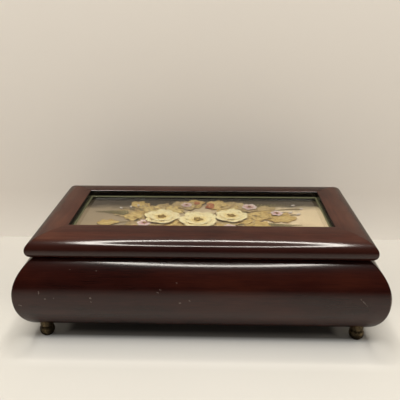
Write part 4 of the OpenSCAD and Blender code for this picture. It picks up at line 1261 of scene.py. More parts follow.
@dataclass(frozen=True)
class LidRails:
    """The four rails of the lid, with a crown outside and a rebate for the glass inside."""

    half_w: float = LID_HIGH[0]
    half_d: float = -LID_LOW[1]
    underside: float = LID_LOW[2]
    top: float = LID_HIGH[2]
    nose_height: float = 4.3
    nose_run: float = 3.5
    crown_run: float = 18.5
    width: float = LID_HIGH[1] - LID_LOW[1]
    edge: float = 0.8
    rebate: float = 3.5
    lip: float = 4.5
    bevel: float = 0.3
    corner: float = 1.0
    fullness: float = 2.25
    hinges: Hinges = Hinges()

    @property
    def opening(self) -> tuple[float, float]:
        """Half the width and depth of the opening over the glass."""
        return self.half_w - self.width, self.half_d - self.width

    def section(self) -> Array:
        """The section's points.

        The nose is s = nose run x (1 - cos a), z = widest - nose height x sin a. The crown is
        s = crown run x (1 - cos^k a), z = widest + rise x sin^k a, where k is 2 over the fullness. Then
        come the flat, the opening's round edge, the lip, the rebate and the underside with its bevel.

        Returns:
            Distances in from the widest line and heights, as (n, 2).
        """
        low = np.radians(np.linspace(90, 0, 16))[:-1]
        up = np.radians(np.linspace(0, 90, 44))
        widest = self.underside + self.nose_height
        nose = np.stack([self.nose_run * (1 - np.cos(low)), widest - self.nose_height * np.sin(low)], -1)
        power = 2 / self.fullness
        crown = np.stack([self.crown_run * (1 - np.cos(up) ** power),
                          widest + (self.top - widest) * np.sin(up) ** power], -1)
        edge = arc((self.width - self.edge, self.top - self.edge), (self.edge, self.edge), 90, 0, 7)
        back = self.width - self.rebate
        lip = self.top - self.lip
        rest = np.array([[self.width, lip], [back, lip], [back, self.underside + self.bevel],
                         [back - self.bevel, self.underside]])
        return np.concatenate([nose, crown, edge, rest])

    def build(self) -> None:
        """Builds, dresses and places the four rails."""
        marks = (Mark((-27.9, 2.0, 62.9), (-27.4, 2.0, 62.9), 0.30, 0.3),)
        section = self.section()
        for side in Side:
            ends = side in (Side.LEFT, Side.RIGHT)
            length, across = (self.half_d, self.half_w) if ends else (self.half_w, self.half_d)
            shown = tuple(m.back(-self.half_d) for m in marks) if side is Side.FRONT else ()
            name = f"lid_moulding_{side.name.lower()}"
            # The lid's tones: its wood, made lighter and more orange than the case's as painted light on
            # its top.
            finish = Lacquer(side.grain, (0.020, 0.0048, 0.0040), (0.060, 0.0165, 0.0098),
                             (0.112, 0.0360, 0.0180), gloss=0.11, marks=shown, opening=self.opening,
                             nose_shade_half=(self.half_w, self.half_d)).material(f"{name}_lacquer")
            rings = side.carry(mitred(section, length, across, self.corner))
            made = Shell().tube(rings).piece(name, finish, "lid", "lid_wood",
                                             [f"lid_{side.name.lower()}_rail"], 30)
            if side is Side.BACK:
                cut_out(made, self.hinges.mortises(1), 30)


@dataclass(frozen=True)
class BallFeet:
    """Four turned ball feet with a wide collar under the case."""

    x: float = (FOOT_LOW[0] + FOOT_HIGH[0]) / 2
    y: float = (FOOT_LOW[1] + FOOT_HIGH[1]) / 2
    ball: float = (FOOT_HIGH[0] - FOOT_LOW[0]) / 2
    flat: float = 1.5
    collar: float = 3.8
    groove: float = 3.45
    groove_depth: float = 0.12
    collar_round: float = 0.25
    seat: float = 12.0
    seat_bevel: float = 0.3

    def profile(self) -> Array:
        """The flat with its shallow dish, the ball r = R cos a, z = c + R sin a up to a fine groove, then
        the collar, rounded below and bevelled at its seat in the wood.

        Returns:
            Radii and heights from the bottom to the top, as (n, 2).
        """
        centre = math.sqrt(self.ball ** 2 - self.flat ** 2)
        bottom = math.degrees(math.asin(-centre / self.ball))
        top = math.degrees(math.acos(self.groove / self.ball))
        ball = arc((0.0, centre), (self.ball, self.ball), bottom, top, 30)
        z = ball[-1, 1]
        hollow = np.array([[self.groove - self.groove_depth, z + 0.1], [self.groove - 0.1, z + 0.2]])
        r, bevel = self.collar_round, self.seat_bevel
        lower = arc((self.collar - r, z + 2 * r), (r, r), -90, 0, 6)
        upper = np.array([[self.collar, self.seat - bevel], [self.collar - bevel, self.seat]])
        dish = np.array([[0.7, 0.03], [1.2, 0.0]])
        return np.concatenate([dish, ball, hollow, lower, upper])

    def build(self) -> None:
        """Builds, dresses and places the four feet."""
        finish = FOOT_BRASS.material("foot_dark_brass")
        for sx, nx in ((-1, "left"), (1, "right")):
            for sy, ny in ((-1, "front"), (1, "back")):
                rings = lathe(self.profile(), (sx * self.x, sy * self.y, 0), 72)
                tips = ((sx * self.x, sy * self.y, 0.05), None)
                Shell().tube(rings, tips).piece(f"ball_foot_{ny}_{nx}", finish, "case", "foot_brass",
                                                [f"foot_{ny}_{nx}"], 40)


# --- The picture under the glass ---


@dataclass(frozen=True)
class Spray:
    """The pressed leaves and blossoms on the card, and what grows between them.

    Places are shares of the opening's half sizes and turns are in degrees. A leaf or blossom is listed as
    its place, its turn and its size as a share of the half depth, a stem or frond as the three places of
    its curve, and a loose petal with its size in millimetres.
    """

    open_x: float = LidRails().opening[0]
    open_y: float = LidRails().opening[1]
    card_z: float = CARD_TOP
    leaves: tuple[tuple[float, float, float, float], ...] = (
        (-0.50, 0.10, 170, 0.70), (-0.44, 0.42, 140, 0.63), (-0.40, -0.30, 205, 0.63),
        (-0.66, -0.34, 190, 0.49), (-0.20, 0.45, 100, 0.45), (0.0, -0.35, 250, 0.52),
        (0.16, 0.40, 62, 0.52), (0.30, -0.25, -28, 0.74), (0.38, 0.25, 24, 0.70), (0.46, -0.02, -4, 0.84))
    blossoms: tuple[tuple[float, float, float, float], ...] = (
        (-0.33, -0.10, 10, 0.40), (-0.03, -0.26, 40, 0.44), (0.24, -0.04, 0, 0.37),
        (-0.46, -0.42, 25, 0.16), (0.40, 0.52, 50, 0.175), (0.62, 0.16, 15, 0.14),
        (-0.14, 0.62, 35, 0.126), (0.22, -0.62, 20, 0.147))
    big_radius: float = 7.0
    fillers: int = 26
    spiral: float = 2.39996
    ripple: float = 6.28
    seed: int = 11
    stems: tuple[tuple[tuple[float, float], ...], ...] = (
        ((0.46, -0.02), (0.62, 0.10), (0.80, 0.14)), ((0.38, 0.25), (0.58, 0.42), (0.84, 0.46)),
        ((-0.50, 0.10), (-0.36, 0.04), (-0.20, 0.0)), ((-0.44, 0.42), (-0.36, 0.26), (-0.30, 0.02)),
        ((-0.40, -0.30), (-0.34, -0.18), (-0.26, -0.04)), ((-0.20, 0.45), (-0.16, 0.20), (-0.10, 0.0)),
        ((0.16, 0.40), (0.12, 0.24), (0.06, 0.0)), ((0.30, -0.25), (0.22, -0.14), (0.10, -0.04)),
        ((-0.66, -0.34), (-0.54, -0.30), (-0.40, -0.20)), ((0.22, -0.62), (0.20, -0.42), (0.12, -0.2)),
        ((-0.62, 0.52), (-0.50, 0.30), (-0.36, 0.10)), ((0.62, 0.16), (0.50, 0.06), (0.34, 0.0)),
        ((-0.70, 0.44), (-0.60, 0.40), (-0.52, 0.30)), ((-0.56, 0.62), (-0.56, 0.46), (-0.50, 0.30)),
        ((0.74, 0.24), (0.66, 0.28), (0.58, 0.26)))
    fronds: tuple[tuple[tuple[float, float], ...], ...] = (
        ((0.30, 0.55), (0.52, 0.72), (0.78, 0.66)), ((-0.58, 0.12), (-0.76, 0.28), (-0.90, 0.22)),
        ((0.44, -0.40), (0.62, -0.50), (0.80, -0.42)))
    buds: tuple[tuple[float, float, float], ...] = (
        (-0.62, 0.52, 100), (-0.70, 0.44, 130), (0.80, 0.14, 20), (0.84, 0.46, 40),
        (-0.56, 0.62, 80), (0.78, 0.66, 10), (0.74, 0.24, 35))
    loose: tuple[tuple[float, float, float, float], ...] = (
        (0.02, 0.50, 20, 6.5), (0.10, 0.62, 150, 5.5), (-0.06, 0.66, 80, 5.0),
        (-0.58, -0.66, 10, 6.0), (-0.50, -0.74, 60, 5.0), (0.52, -0.60, 200, 4.5))

    def at(self, x: float, y: float, turn: float, points: Array, z: float = 0.0) -> Array:
        """Turns points about the upright and moves them to a place.

        Args:
            x: the place across, as a share of the opening's half width.
            y: the place from front to back, as a share of its half depth.
            turn: in degrees.
            points: an array whose last axis is x, y and z.
            z: how far the points are raised.

        Returns:
            The points in their place.
        """
        a = math.radians(turn)
        out = points.copy()
        out[..., 0] = points[..., 0] * math.cos(a) - points[..., 1] * math.sin(a) + x * self.open_x
        out[..., 1] = points[..., 0] * math.sin(a) + points[..., 1] * math.cos(a) + y * self.open_y
        out[..., 2] += z
        return out

    def leaf(self, length: float, lift: float, lobes: int, curl: float, breadth: float = 1.0) -> Array:
        """Rings of one leaf from its foot along X.

        Half width w(t) = 0.3 L sin(pi t)^0.7 (1 + 0.16 cos(2 pi k t) + 0.05 cos(6 pi k t)), where t is
        the share of the length L and k the number of lobes. A point at share v of the half width
        sweeps forward by 0.09 L |v|^1.4 sin(pi t), and its height is a base, a midrib exp(-(v / 0.07)^2),
        side ribs every L / 9 and a curl that lifts the rim.

        Args:
            length: of the leaf.
            lift: height of its base over the card.
            lobes: how many lobes a side has.
            curl: how far the rim lifts.
            breadth: a factor on its width.

        Returns:
            Rings for Shell.tube.
        """
        t = np.linspace(0.006, 0.994, 72)[:, None]
        v = np.linspace(-1, 1, 19)[None, :]
        wave = 1 + 0.16 * np.cos(2 * math.pi * lobes * t) + 0.05 * np.cos(6 * math.pi * lobes * t)
        half = 0.3 * breadth * length * np.sin(math.pi * t) ** 0.7 * wave
        x = length * t + 0.09 * length * np.abs(v) ** 1.4 * np.sin(math.pi * t)
        y = half * v
        rib = np.abs((9 * (t - 0.22 * np.abs(v))) % 1.0 - 0.5)
        top = (lift + 0.16 + 0.12 * np.exp(-(v / 0.07) ** 2) + 0.07 * np.exp(-(rib / 0.10) ** 2)
               + curl * np.abs(v) ** 2.5 * (0.6 + 0.4 * np.sin(17 * t + 3 * np.sign(v)))
               + 0.05 * np.sin(23 * t + 5 * v))
        upper = np.stack([x, y, top], -1)
        lower = np.stack([x, y, top - 0.11], -1)[:, ::-1]
        return np.concatenate([upper, lower], 1)

    def petal(self, radius: float, lift: float, cup: float, phase: float) -> Array:
        """Rings of one petal from the blossom's middle along X.

        Half width w(u) = 0.46 R sin(pi u^1.35)^0.6 + 0.03 R with u from foot to tip. The tip is drawn in
        at its middle by 0.07 R (1 - |v|)^2 u^4. The height is lift + cup (0.6 u^2 + 0.5 u v^2), with
        folds of up to 0.16 u cos(3 pi v), a ripple, and a tilt of up to 0.2 u v that tucks one edge
        under the next petal; both are less on small blossoms.

        Args:
            radius: of the blossom.
            lift: height of the petal's foot.
            cup: how far its rim lifts.
            phase: of its ripple.

        Returns:
            Rings for Shell.tube.
        """
        u = np.linspace(0.03, 0.985, 26)[:, None]
        v = np.linspace(-1, 1, 15)[None, :]
        half = 0.46 * radius * np.sin(math.pi * u ** 1.35) ** 0.6 + 0.03 * radius
        drawn_in = 0.07 * radius * (1 - np.abs(v)) ** 2 * u ** 4
        x = radius * u - drawn_in + 0.02 * radius * np.sin(8 * v + phase) * u ** 3
        y = half * v * (1 + 0.03 * np.sin(9 * u + phase))
        top = (lift + 0.10 + cup * (0.6 * u ** 2 + 0.5 * u * v ** 2) + 0.05 * np.sin(11 * u + phase)
               + min(0.16, 0.02 * radius) * u * np.cos(3 * math.pi * v) + min(0.2, 0.03 * radius) * v * u)
        upper = np.stack([x, y, top], -1)
        lower = np.stack([x, y, top - 0.10], -1)[:, ::-1]
        return np.concatenate([upper, lower], 1)

    def add_bead(self, shell: Shell, centre: Array, radii: Point, turn: float = 0.0,
                 tint: float = 0.5) -> None:
        """Adds a small ellipsoid: r = R cos a, z = R sin a, for a from -78 to 78 degrees, with two poles.

        Args:
            shell: what it is added to.
            centre: its middle.
            radii: along x, y and z.
            turn: about the upright, in degrees.
            tint: a value kept at its points.
        """
        a = np.radians(np.linspace(-78, 78, 7))
        rings = lathe(np.stack([np.cos(a), np.sin(a)], -1), (0, 0, 0), 8) * np.array(radii)
        pole = np.array([0, 0, radii[2]])
        shell.tube(self.at(0, 0, turn, rings) + centre, (centre - pole, centre + pole), tint=tint)

    def curve(self, points: Sequence[tuple[float, float]], z: float, count: int = 28) -> Array:
        """A quadratic Bezier curve, laid level: (1 - t)^2 a + 2 t (1 - t) b + t^2 c.

        Args:
            points: the places a, b and c.
            z: its height.
            count: points on the curve.

        Returns:
            The points, as (count, 3).
        """
        t = np.linspace(0, 1, count)[:, None]
        a, b, c = (np.array([p[0] * self.open_x, p[1] * self.open_y]) for p in points)
        flat = (1 - t) ** 2 * a + 2 * t * (1 - t) * b + t ** 2 * c
        return np.concatenate([flat, z + 0 * t], 1)

    def build_leaves(self, rng: np.random.Generator) -> None:
        """Two kinds of leaf in turn, and small ones on a spiral that fill the middle.

        Small leaf k of n stands at angle k x the spiral's step, at 0.10 + 0.27 sqrt(k / n) from the
        middle, points outwards give or take 12 degrees, and is as long as the room to the edge allows.

        Args:
            rng: for curls, turns, sizes and tints.
        """
        for kind, (name, finish, lobes) in enumerate((("tan_leaves", TAN_LEAF, 4),
                                                      ("golden_leaves", GOLDEN_LEAF, 3))):
            shell = Shell()
            for i, (x, y, turn, size) in enumerate(self.leaves):
                if i % 2 != kind:
                    continue
                curl = 0.35 + 0.3 * rng.random()
                rings = self.leaf(size * self.open_y, 0.05 + 0.10 * (i % 4), lobes, curl)
                shell.tube(self.at(x, y, turn, rings, self.card_z), tint=rng.random())
            for k in range(kind, self.fillers, 2):
                a = self.spiral * k
                foot = 0.10 + 0.27 * math.sqrt(k / self.fillers)
                x, y = 1.25 * foot * math.cos(a) - 0.02, 1.15 * foot * math.sin(a) + 0.08
                turn = math.degrees(math.atan2(math.sin(a), 1.5 * math.cos(a))) + 24 * (rng.random() - 0.5)
                room = (0.97 - abs(y)) / max(abs(math.sin(math.radians(turn))), 0.3)
                size = min(0.50 + 0.10 * rng.random(), room) * self.open_y
                curl = 0.5 + 0.5 * rng.random()
                rings = self.leaf(size, 0.06 + 0.05 * (k % 7), lobes - 1, curl, 1.35)
                shell.tube(self.at(x, y, turn, rings, self.card_z), tint=rng.random())
            dress = finish.material(f"{name}_blade")
            shell.piece(name, dress, "lid", "pressed_leaf", ["pressed_leaves"], 60)

    def build_blossoms(self, rng: np.random.Generator) -> None:
        """Large cream blossoms of two whorls, and small pink and white ones, with golden middles.

        A whorl has five petals 72 degrees apart, and the second is turned by half of that.

        Args:
            rng: for ripples, turns, tints and the places of the grains in the middles.
        """
        creams, pinks, hearts = Shell(), Shell(), Shell()
        for i, (x, y, turn, size) in enumerate(self.blossoms):
            radius = size * self.open_y
            big = radius > self.big_radius
            base = self.card_z + 0.8 + (0.12 * i if big else 0.0)
            for whorl in range(2 if big else 1):
                span = radius * (1.0 if whorl == 0 else 0.68)
                for k in range(5):
                    lift = 0.05 * (k % 2) + 0.28 * whorl
                    petal = self.petal(span, lift, 0.085 * span, self.ripple * rng.random())
                    heading = turn + 72 * k + 36 * whorl + 6 * (rng.random() - 0.5)
                    (creams if big else pinks).tube(self.at(x, y, heading, petal, base), tint=rng.random())
            middle = self.at(x, y, 0, np.zeros(3), base + (0.55 if big else 0.35))
            heart = 0.17 * radius
            self.add_bead(hearts, middle, (heart, heart, 0.3))
            for k in range(14 if big else 7):
                a, r = 2.4 * k, heart * (0.5 + 0.9 * rng.random())
                spot = middle + np.array([r * math.cos(a), r * math.sin(a), 0.18 + 0.15 * rng.random()])
                grain = 0.045 * radius if big else 0.28
                self.add_bead(hearts, spot, (grain, grain, 0.8 * grain), tint=rng.random())
        for name, shell, finish, dress in (("cream_blossoms", creams, CREAM_PETAL, "cream_petal"),
                                           ("pink_blossoms", pinks, PINK_PETAL, "pink_petal"),
                                           ("blossom_hearts", hearts, HEART, "blossom_heart")):
            shell.piece(name, finish.material(dress), "lid", "pressed_petal", ["pressed_blossoms"], 60)

    def build_stems(self, rng: np.random.Generator) -> None:
        """Stems, and three fronds with pairs of narrow leaflets.

        A leaflet's half width is w(t) = 0.13 L sin(pi t^0.8), where t is the share of its length L.

        Args:
            rng: for tints and the leaflets' sizes.
        """
        stems, ferns = Shell(), Shell()
        for points in self.stems:
            path = self.curve(points, self.card_z + 0.32)
            stems.tube(rod(path, np.linspace(0.20, 0.34, len(path))), tint=rng.random())
        t = np.linspace(0.02, 0.98, 12)[:, None]
        v = np.linspace(-1, 1, 5)[None, :]
        z = 0.12 + 0.10 * np.sin(3 * t) + 0.05 * v ** 2
        for points in self.fronds:
            path = self.curve(points, self.card_z + 0.28, 34)
            stems.tube(rod(path, np.linspace(0.26, 0.10, len(path))), tint=rng.random())
            head = np.degrees(np.arctan2(*np.gradient(path, axis=0)[:, 1::-1].T))
            for k in range(4, 33, 2):
                size = 5.2 * (1 - (k / 36) ** 1.5) * (0.9 + 0.2 * rng.random())
                x, y = size * t + 0 * v, 0.13 * size * np.sin(math.pi * t ** 0.8) * v
                upper, lower = np.stack([x, y, z], -1), np.stack([x, y, z - 0.08], -1)
                blade = np.concatenate([upper, lower[:, ::-1]], 1)
                for side in (-1, 1):
                    placed = self.at(0, 0, head[k] + side * (58 - 0.6 * k), blade) + path[k]
                    ferns.tube(placed, tint=rng.random())
        stems.piece("dried_stems", STEM.material("stem"), "lid", "pressed_leaf", (), 60)
        ferns.piece("fern_fronds", FERN.material("fern"), "lid", "pressed_leaf", (), 60)

    def build_buds(self, rng: np.random.Generator) -> None:
        """Buds at the stems' ends, and a few loose russet petals.

        Args:
            rng: for ripples and tints.
        """
        buds, petals = Shell(), Shell()
        for x, y, turn in self.buds:
            centre = self.at(x, y, 0, np.zeros(3), self.card_z + 0.6)
            self.add_bead(buds, centre, (1.5, 0.85, 0.5), turn, rng.random())
        for x, y, turn, size in self.loose:
            petal = self.petal(size, 0.25, 0.5, self.ripple * rng.random())
            petals.tube(self.at(x, y, turn, petal, self.card_z + 0.35), tint=rng.random())
        buds.piece("flower_buds", BUD.material("bud"), "lid", "pressed_petal", (), 60)
        petals.piece("russet_petals", RUSSET_PETAL.material("russet_petal"), "lid", "pressed_petal", (), 60)

    def build_painted_bevel_glint(self) -> None:
        """A painted glint: a fine pale green-gold strip round the opening that stands for the pane's bevel
        catching light.
        """
        inset, above, w = 0.65, 4.9, 0.50
        x, y, z = self.open_x - inset, self.open_y - inset, self.card_z + above
        corners = np.array([[x, y], [-x, y], [-x, -y], [x, -y]])
        section = np.array([[-w, -0.5], [w, -0.5], [w, 0.1], [-0.2 * w, 0.35]])
        rings = np.empty((4, 4, 3))
        rings[..., :2] = corners[:, None] + np.sign(corners)[:, None] * section[None, :, :1]
        rings[..., 2] = z + section[None, :, 1]
        finish = BEVEL_GLINT_PAINT.material("bevel_painted_glint")
        Shell().tube(rings, hoop=True).piece("bevel_glint_strip", finish, "lid", "pane_glass", (), 20)

    def build(self) -> None:
        """Builds the whole spray from one seeded generator."""
        rng = np.random.default_rng(self.seed)
        self.build_leaves(rng)
        self.build_blossoms(rng)
        self.build_stems(rng)
        self.build_buds(rng)
        self.build_painted_bevel_glint()


# --- Inside ---


@dataclass(frozen=True)
class VelvetLinings:
    """Velvet on the floor, the walls, the partition and the divider, and under the lid."""

    boards: tuple[tuple[str, str, str, float], ...] = (
        ("floor_velvet", "floor_lining", "case", 0.40),
        ("front_wall_velvet", "lining_front", "case", 0.45),
        ("back_wall_velvet", "lining_back", "case", 0.45),
        ("end_wall_velvet", "lining_right", "case", 0.45),
        ("partition_velvet", "movement_partition", "case", 0.90),
        ("divider_velvet", "ring_divider", "case", 0.80),
        ("lid_velvet", "lid_lining", "lid", 0.40),
    )

    def build(self) -> None:
        """Builds, dresses and places the linings."""
        finish = VELVET.material("burgundy_velvet")
        for name, node, body, radius in self.boards:
            low, high = reach(node)
            Shell().tube(soft_board(low, high, radius)).piece(name, finish, body, "velvet", [node], 50)


@dataclass(frozen=True)
class Sleeve:
    """A cloth sleeve over foam: blown up a little by a simulation, so that it gathers where it is glued."""

    enlarge: float = 20.0
    frames: int = 18
    pressure: float = 3.0
    slack: float = 0.07
    reach: float = 0.60
    weight: float = 0.2
    stretch: float = 12.0
    shear: float = 6.0
    bend: float = 0.25
    quality: int = 6

    def settle(self, rings: Array, glued: Array) -> Array:
        """Runs the simulation on rings of points and gives back where they end.

        The sleeve is simulated much larger than it is, because the solver's limits are set for
        garments. Each point then moves by d x min(1, reach / |d|), where d is its simulated movement.

        Args:
            rings: the sleeve's points as (rings, points in a ring, 3), in millimetres.
            glued: true for the points that stay where they are, as (rings, points in a ring).

        Returns:
            The points after the simulation, in the same order.
        """
        n, m, _ = rings.shape
        middle = rings.reshape(-1, 3).mean(0)
        start = (rings.reshape(-1, 3) - middle) * MM * self.enlarge
        rows, cols = np.arange(n - 1)[:, None], np.arange(m)[None, :]
        nxt = (cols + 1) % m
        quads = np.stack([rows * m + cols, rows * m + nxt, (rows + 1) * m + nxt, (rows + 1) * m + cols], -1)
        quads = quads.reshape(-1, 4)
        outward = np.cross(start[quads[:, 1]] - start[quads[:, 0]], start[quads[:, 3]] - start[quads[:, 0]])
        if np.einsum("ij,ij->", outward, start[quads[:, 0]]) < 0:
            quads = quads[:, ::-1]
        mesh = bpy.data.meshes.new("sleeve")
        mesh.from_pydata(start.tolist(), [], quads.tolist())
        held = bpy.data.objects.new("sleeve", mesh)
        scene = bpy.context.scene
        scene.collection.objects.link(held)
        held.vertex_groups.new(name="glued").add(np.flatnonzero(glued.ravel()).tolist(), 1.0, "REPLACE")
        cloth = held.modifiers.new("cloth", "CLOTH")
        cloth.settings.vertex_group_mass = "glued"
        cloth.settings.quality = self.quality
        cloth.settings.mass = self.weight
        cloth.settings.tension_stiffness = self.stretch
        cloth.settings.compression_stiffness = self.stretch
        cloth.settings.shear_stiffness = self.shear
        cloth.settings.bending_stiffness = self.bend
        cloth.settings.use_pressure = True
        cloth.settings.uniform_pressure_force = self.pressure
        cloth.settings.shrink_min = -self.slack
        cloth.settings.effector_weights.gravity = 0.0
        cloth.collision_settings.use_collision = False
        cloth.point_cache.frame_start, cloth.point_cache.frame_end = 1, self.frames
        for number in range(1, self.frames + 1):
            scene.frame_set(number)
        settled = held.evaluated_get(bpy.context.evaluated_depsgraph_get())
        end = np.empty(3 * n * m, np.float32)
        settled.data.vertices.foreach_get("co", end)
        bpy.data.objects.remove(held)
        scene.frame_set(1)
        moved = (end.reshape(-1, 3) - start) / (MM * self.enlarge)
        size = np.linalg.norm(moved, axis=1, keepdims=True)
        moved *= np.minimum(1.0, self.reach / np.maximum(size, 1e-9))
        log.info("sleeve settled: moves %.2f mm on average", float(np.minimum(size, self.reach).mean()))
        return rings + moved.reshape(rings.shape)


@dataclass(frozen=True)
class RingRolls:
    """Four velvet rolls, side by side, that grip rings between them."""

    x0: float = ROLLS_LOW[0]
    width: float = 12.0
    gap: float = 0.6
    half_y: float = ROLLS_HIGH[1]
    z0: float = ROLLS_LOW[2]
    height: float = ROLLS_HIGH[2] - ROLLS_LOW[2]
    count: int = 4
    slimmer: float = 0.45
    phase_step: float = 1.7
    glued_height: float = 0.22
    glued_ends: float = 0.985
    sleeve: Sleeve = Sleeve()

    def roll(self, phase: float) -> Array:
        """Rings of one roll along Y, before the cloth settles.

        The section is a superellipse |x|^2.7 + |z|^2.7 = 1, rounder above its middle and squarer below
        it. At share t of the half length it shrinks to 0.55 + 0.45 (1 - |t|^9)^0.4, in height by 0.65
        of that, and it swells and sinks along its length by 1.5 % x sin(9 t + phase), as foam does.

        Args:
            phase: of the swelling.

        Returns:
            Rings for Shell.tube, with x from the roll's middle.
        """
        even = np.linspace(-0.9992, 0.9992, 61)
        t = np.sign(even) * (1 - (1 - np.abs(even)) ** 1.25)
        shrink = 0.55 + 0.45 * (1 - np.abs(t) ** 9) ** 0.4
        a = np.linspace(0, 2 * math.pi, 56, endpoint=False)
        across = np.sign(np.cos(a)) * np.abs(np.cos(a)) ** (2 / 2.7)
        upright = np.where(np.sin(a) > 0, np.abs(np.sin(a)) ** 0.9, -np.abs(np.sin(a)) ** 0.5)
        swell = (shrink * (1 + 0.015 * np.sin(9 * t + phase)))[:, None]
        x = (self.width / 2 - self.slimmer) * across[None] * swell
        tall = (self.height / 2 - self.slimmer) * upright[None] * (0.35 + 0.65 * swell)
        z = self.z0 + self.height / 2 + tall
        y = np.broadcast_to((t * (self.half_y - 0.2))[:, None], x.shape)
        return np.stack([x, y, z], -1)

    def build(self) -> None:
        """Builds, dresses and places the rolls."""
        finish = ROLL_VELVET.material("roll_velvet_pile")
        for i in range(self.count):
            rings = self.roll(self.phase_step * i)
            glued = rings[..., 2] < self.z0 + self.glued_height * self.height
            glued |= np.abs(rings[..., 1]) > self.glued_ends * self.half_y
            rings = self.sleeve.settle(rings, glued)
            rings[..., 0] = np.clip(rings[..., 0], -self.width / 2, self.width / 2)
            rings[..., 1] = np.clip(rings[..., 1], -self.half_y, self.half_y)
            rings[..., 2] = np.clip(rings[..., 2], self.z0, self.z0 + self.height)
            rings[..., 0] += self.x0 + self.width / 2 + i * (self.width + self.gap)
            made = Shell().tube(rings).piece(f"ring_roll_{i + 1}", finish, "case", "roll_velvet",
                                             ["ring_rolls"], 60)


class NodeFinishes:
    """Finishes for the nodes that keep their own mesh."""

    def __init__(self) -> None:
        """Lists the nodes under each finish."""
        self.finishes: tuple[tuple[object, str, tuple[str, ...]], ...] = (
            (RawWood(Grain.ALONG_X), "base_wood", ("base_panel", "backing_panel")),
            (RawWood(Grain.ALONG_Y), "ledge_wood", ("cover_ledges", "stop_wire_guide")),
            (BRASS, "hinge_brass_satin", ("hinge_left_lower_leaf", "hinge_left_upper_leaf",
                                          "hinge_right_lower_leaf", "hinge_right_upper_leaf", "hinge_pins",
                                          "hinge_screws_case", "hinge_screws_lid")),
            (PLATE_BRASS, "plate_brass_brushed", ("bedplate", "governor_frame", "winding_key")),
            (WHEEL_BRASS, "wheel_brass_turned", ("great_wheel", "music_cylinder", "cylinder_pinion",
                                                 "cylinder_gear", "worm_wheel")),
            (CAST, "cast_housing", ("spring_housing", "fan")),
            (SPRING_STEEL, "spring_steel_blue", ("mainspring", "stop_spring", "clutch_spring")),
            (COMB_STEEL, "comb_steel_ground", ("comb",)),
            (BRIGHT_STEEL, "bright_steel_turned", ("comb_screws", "movement_screws", "frame_screws",
                                                   "winding_arbor", "cylinder_arbor", "governor_arbor",
                                                   "worm", "stop_wire")),
            (PANE_GLASS, "pane_glass_clear", ("glass_pane",)),
            (COVER_ACRYLIC, "cover_acrylic", ("movement_cover",)),
            (PICTURE_PAPER, "picture_paper", ("picture_card",)),
            (SPACER_CARD, "spacer_dark_card", ("spacer_frame",)),
        )

    def build(self) -> None:
        """Gives each node its material."""
        for finish, name, nodes in self.finishes:
            material = finish.material(name)
            for node in nodes:
                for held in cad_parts[node].material_slots:
                    held.material = material
                log.info("%s: %s", node, name)


# --- Studio ---


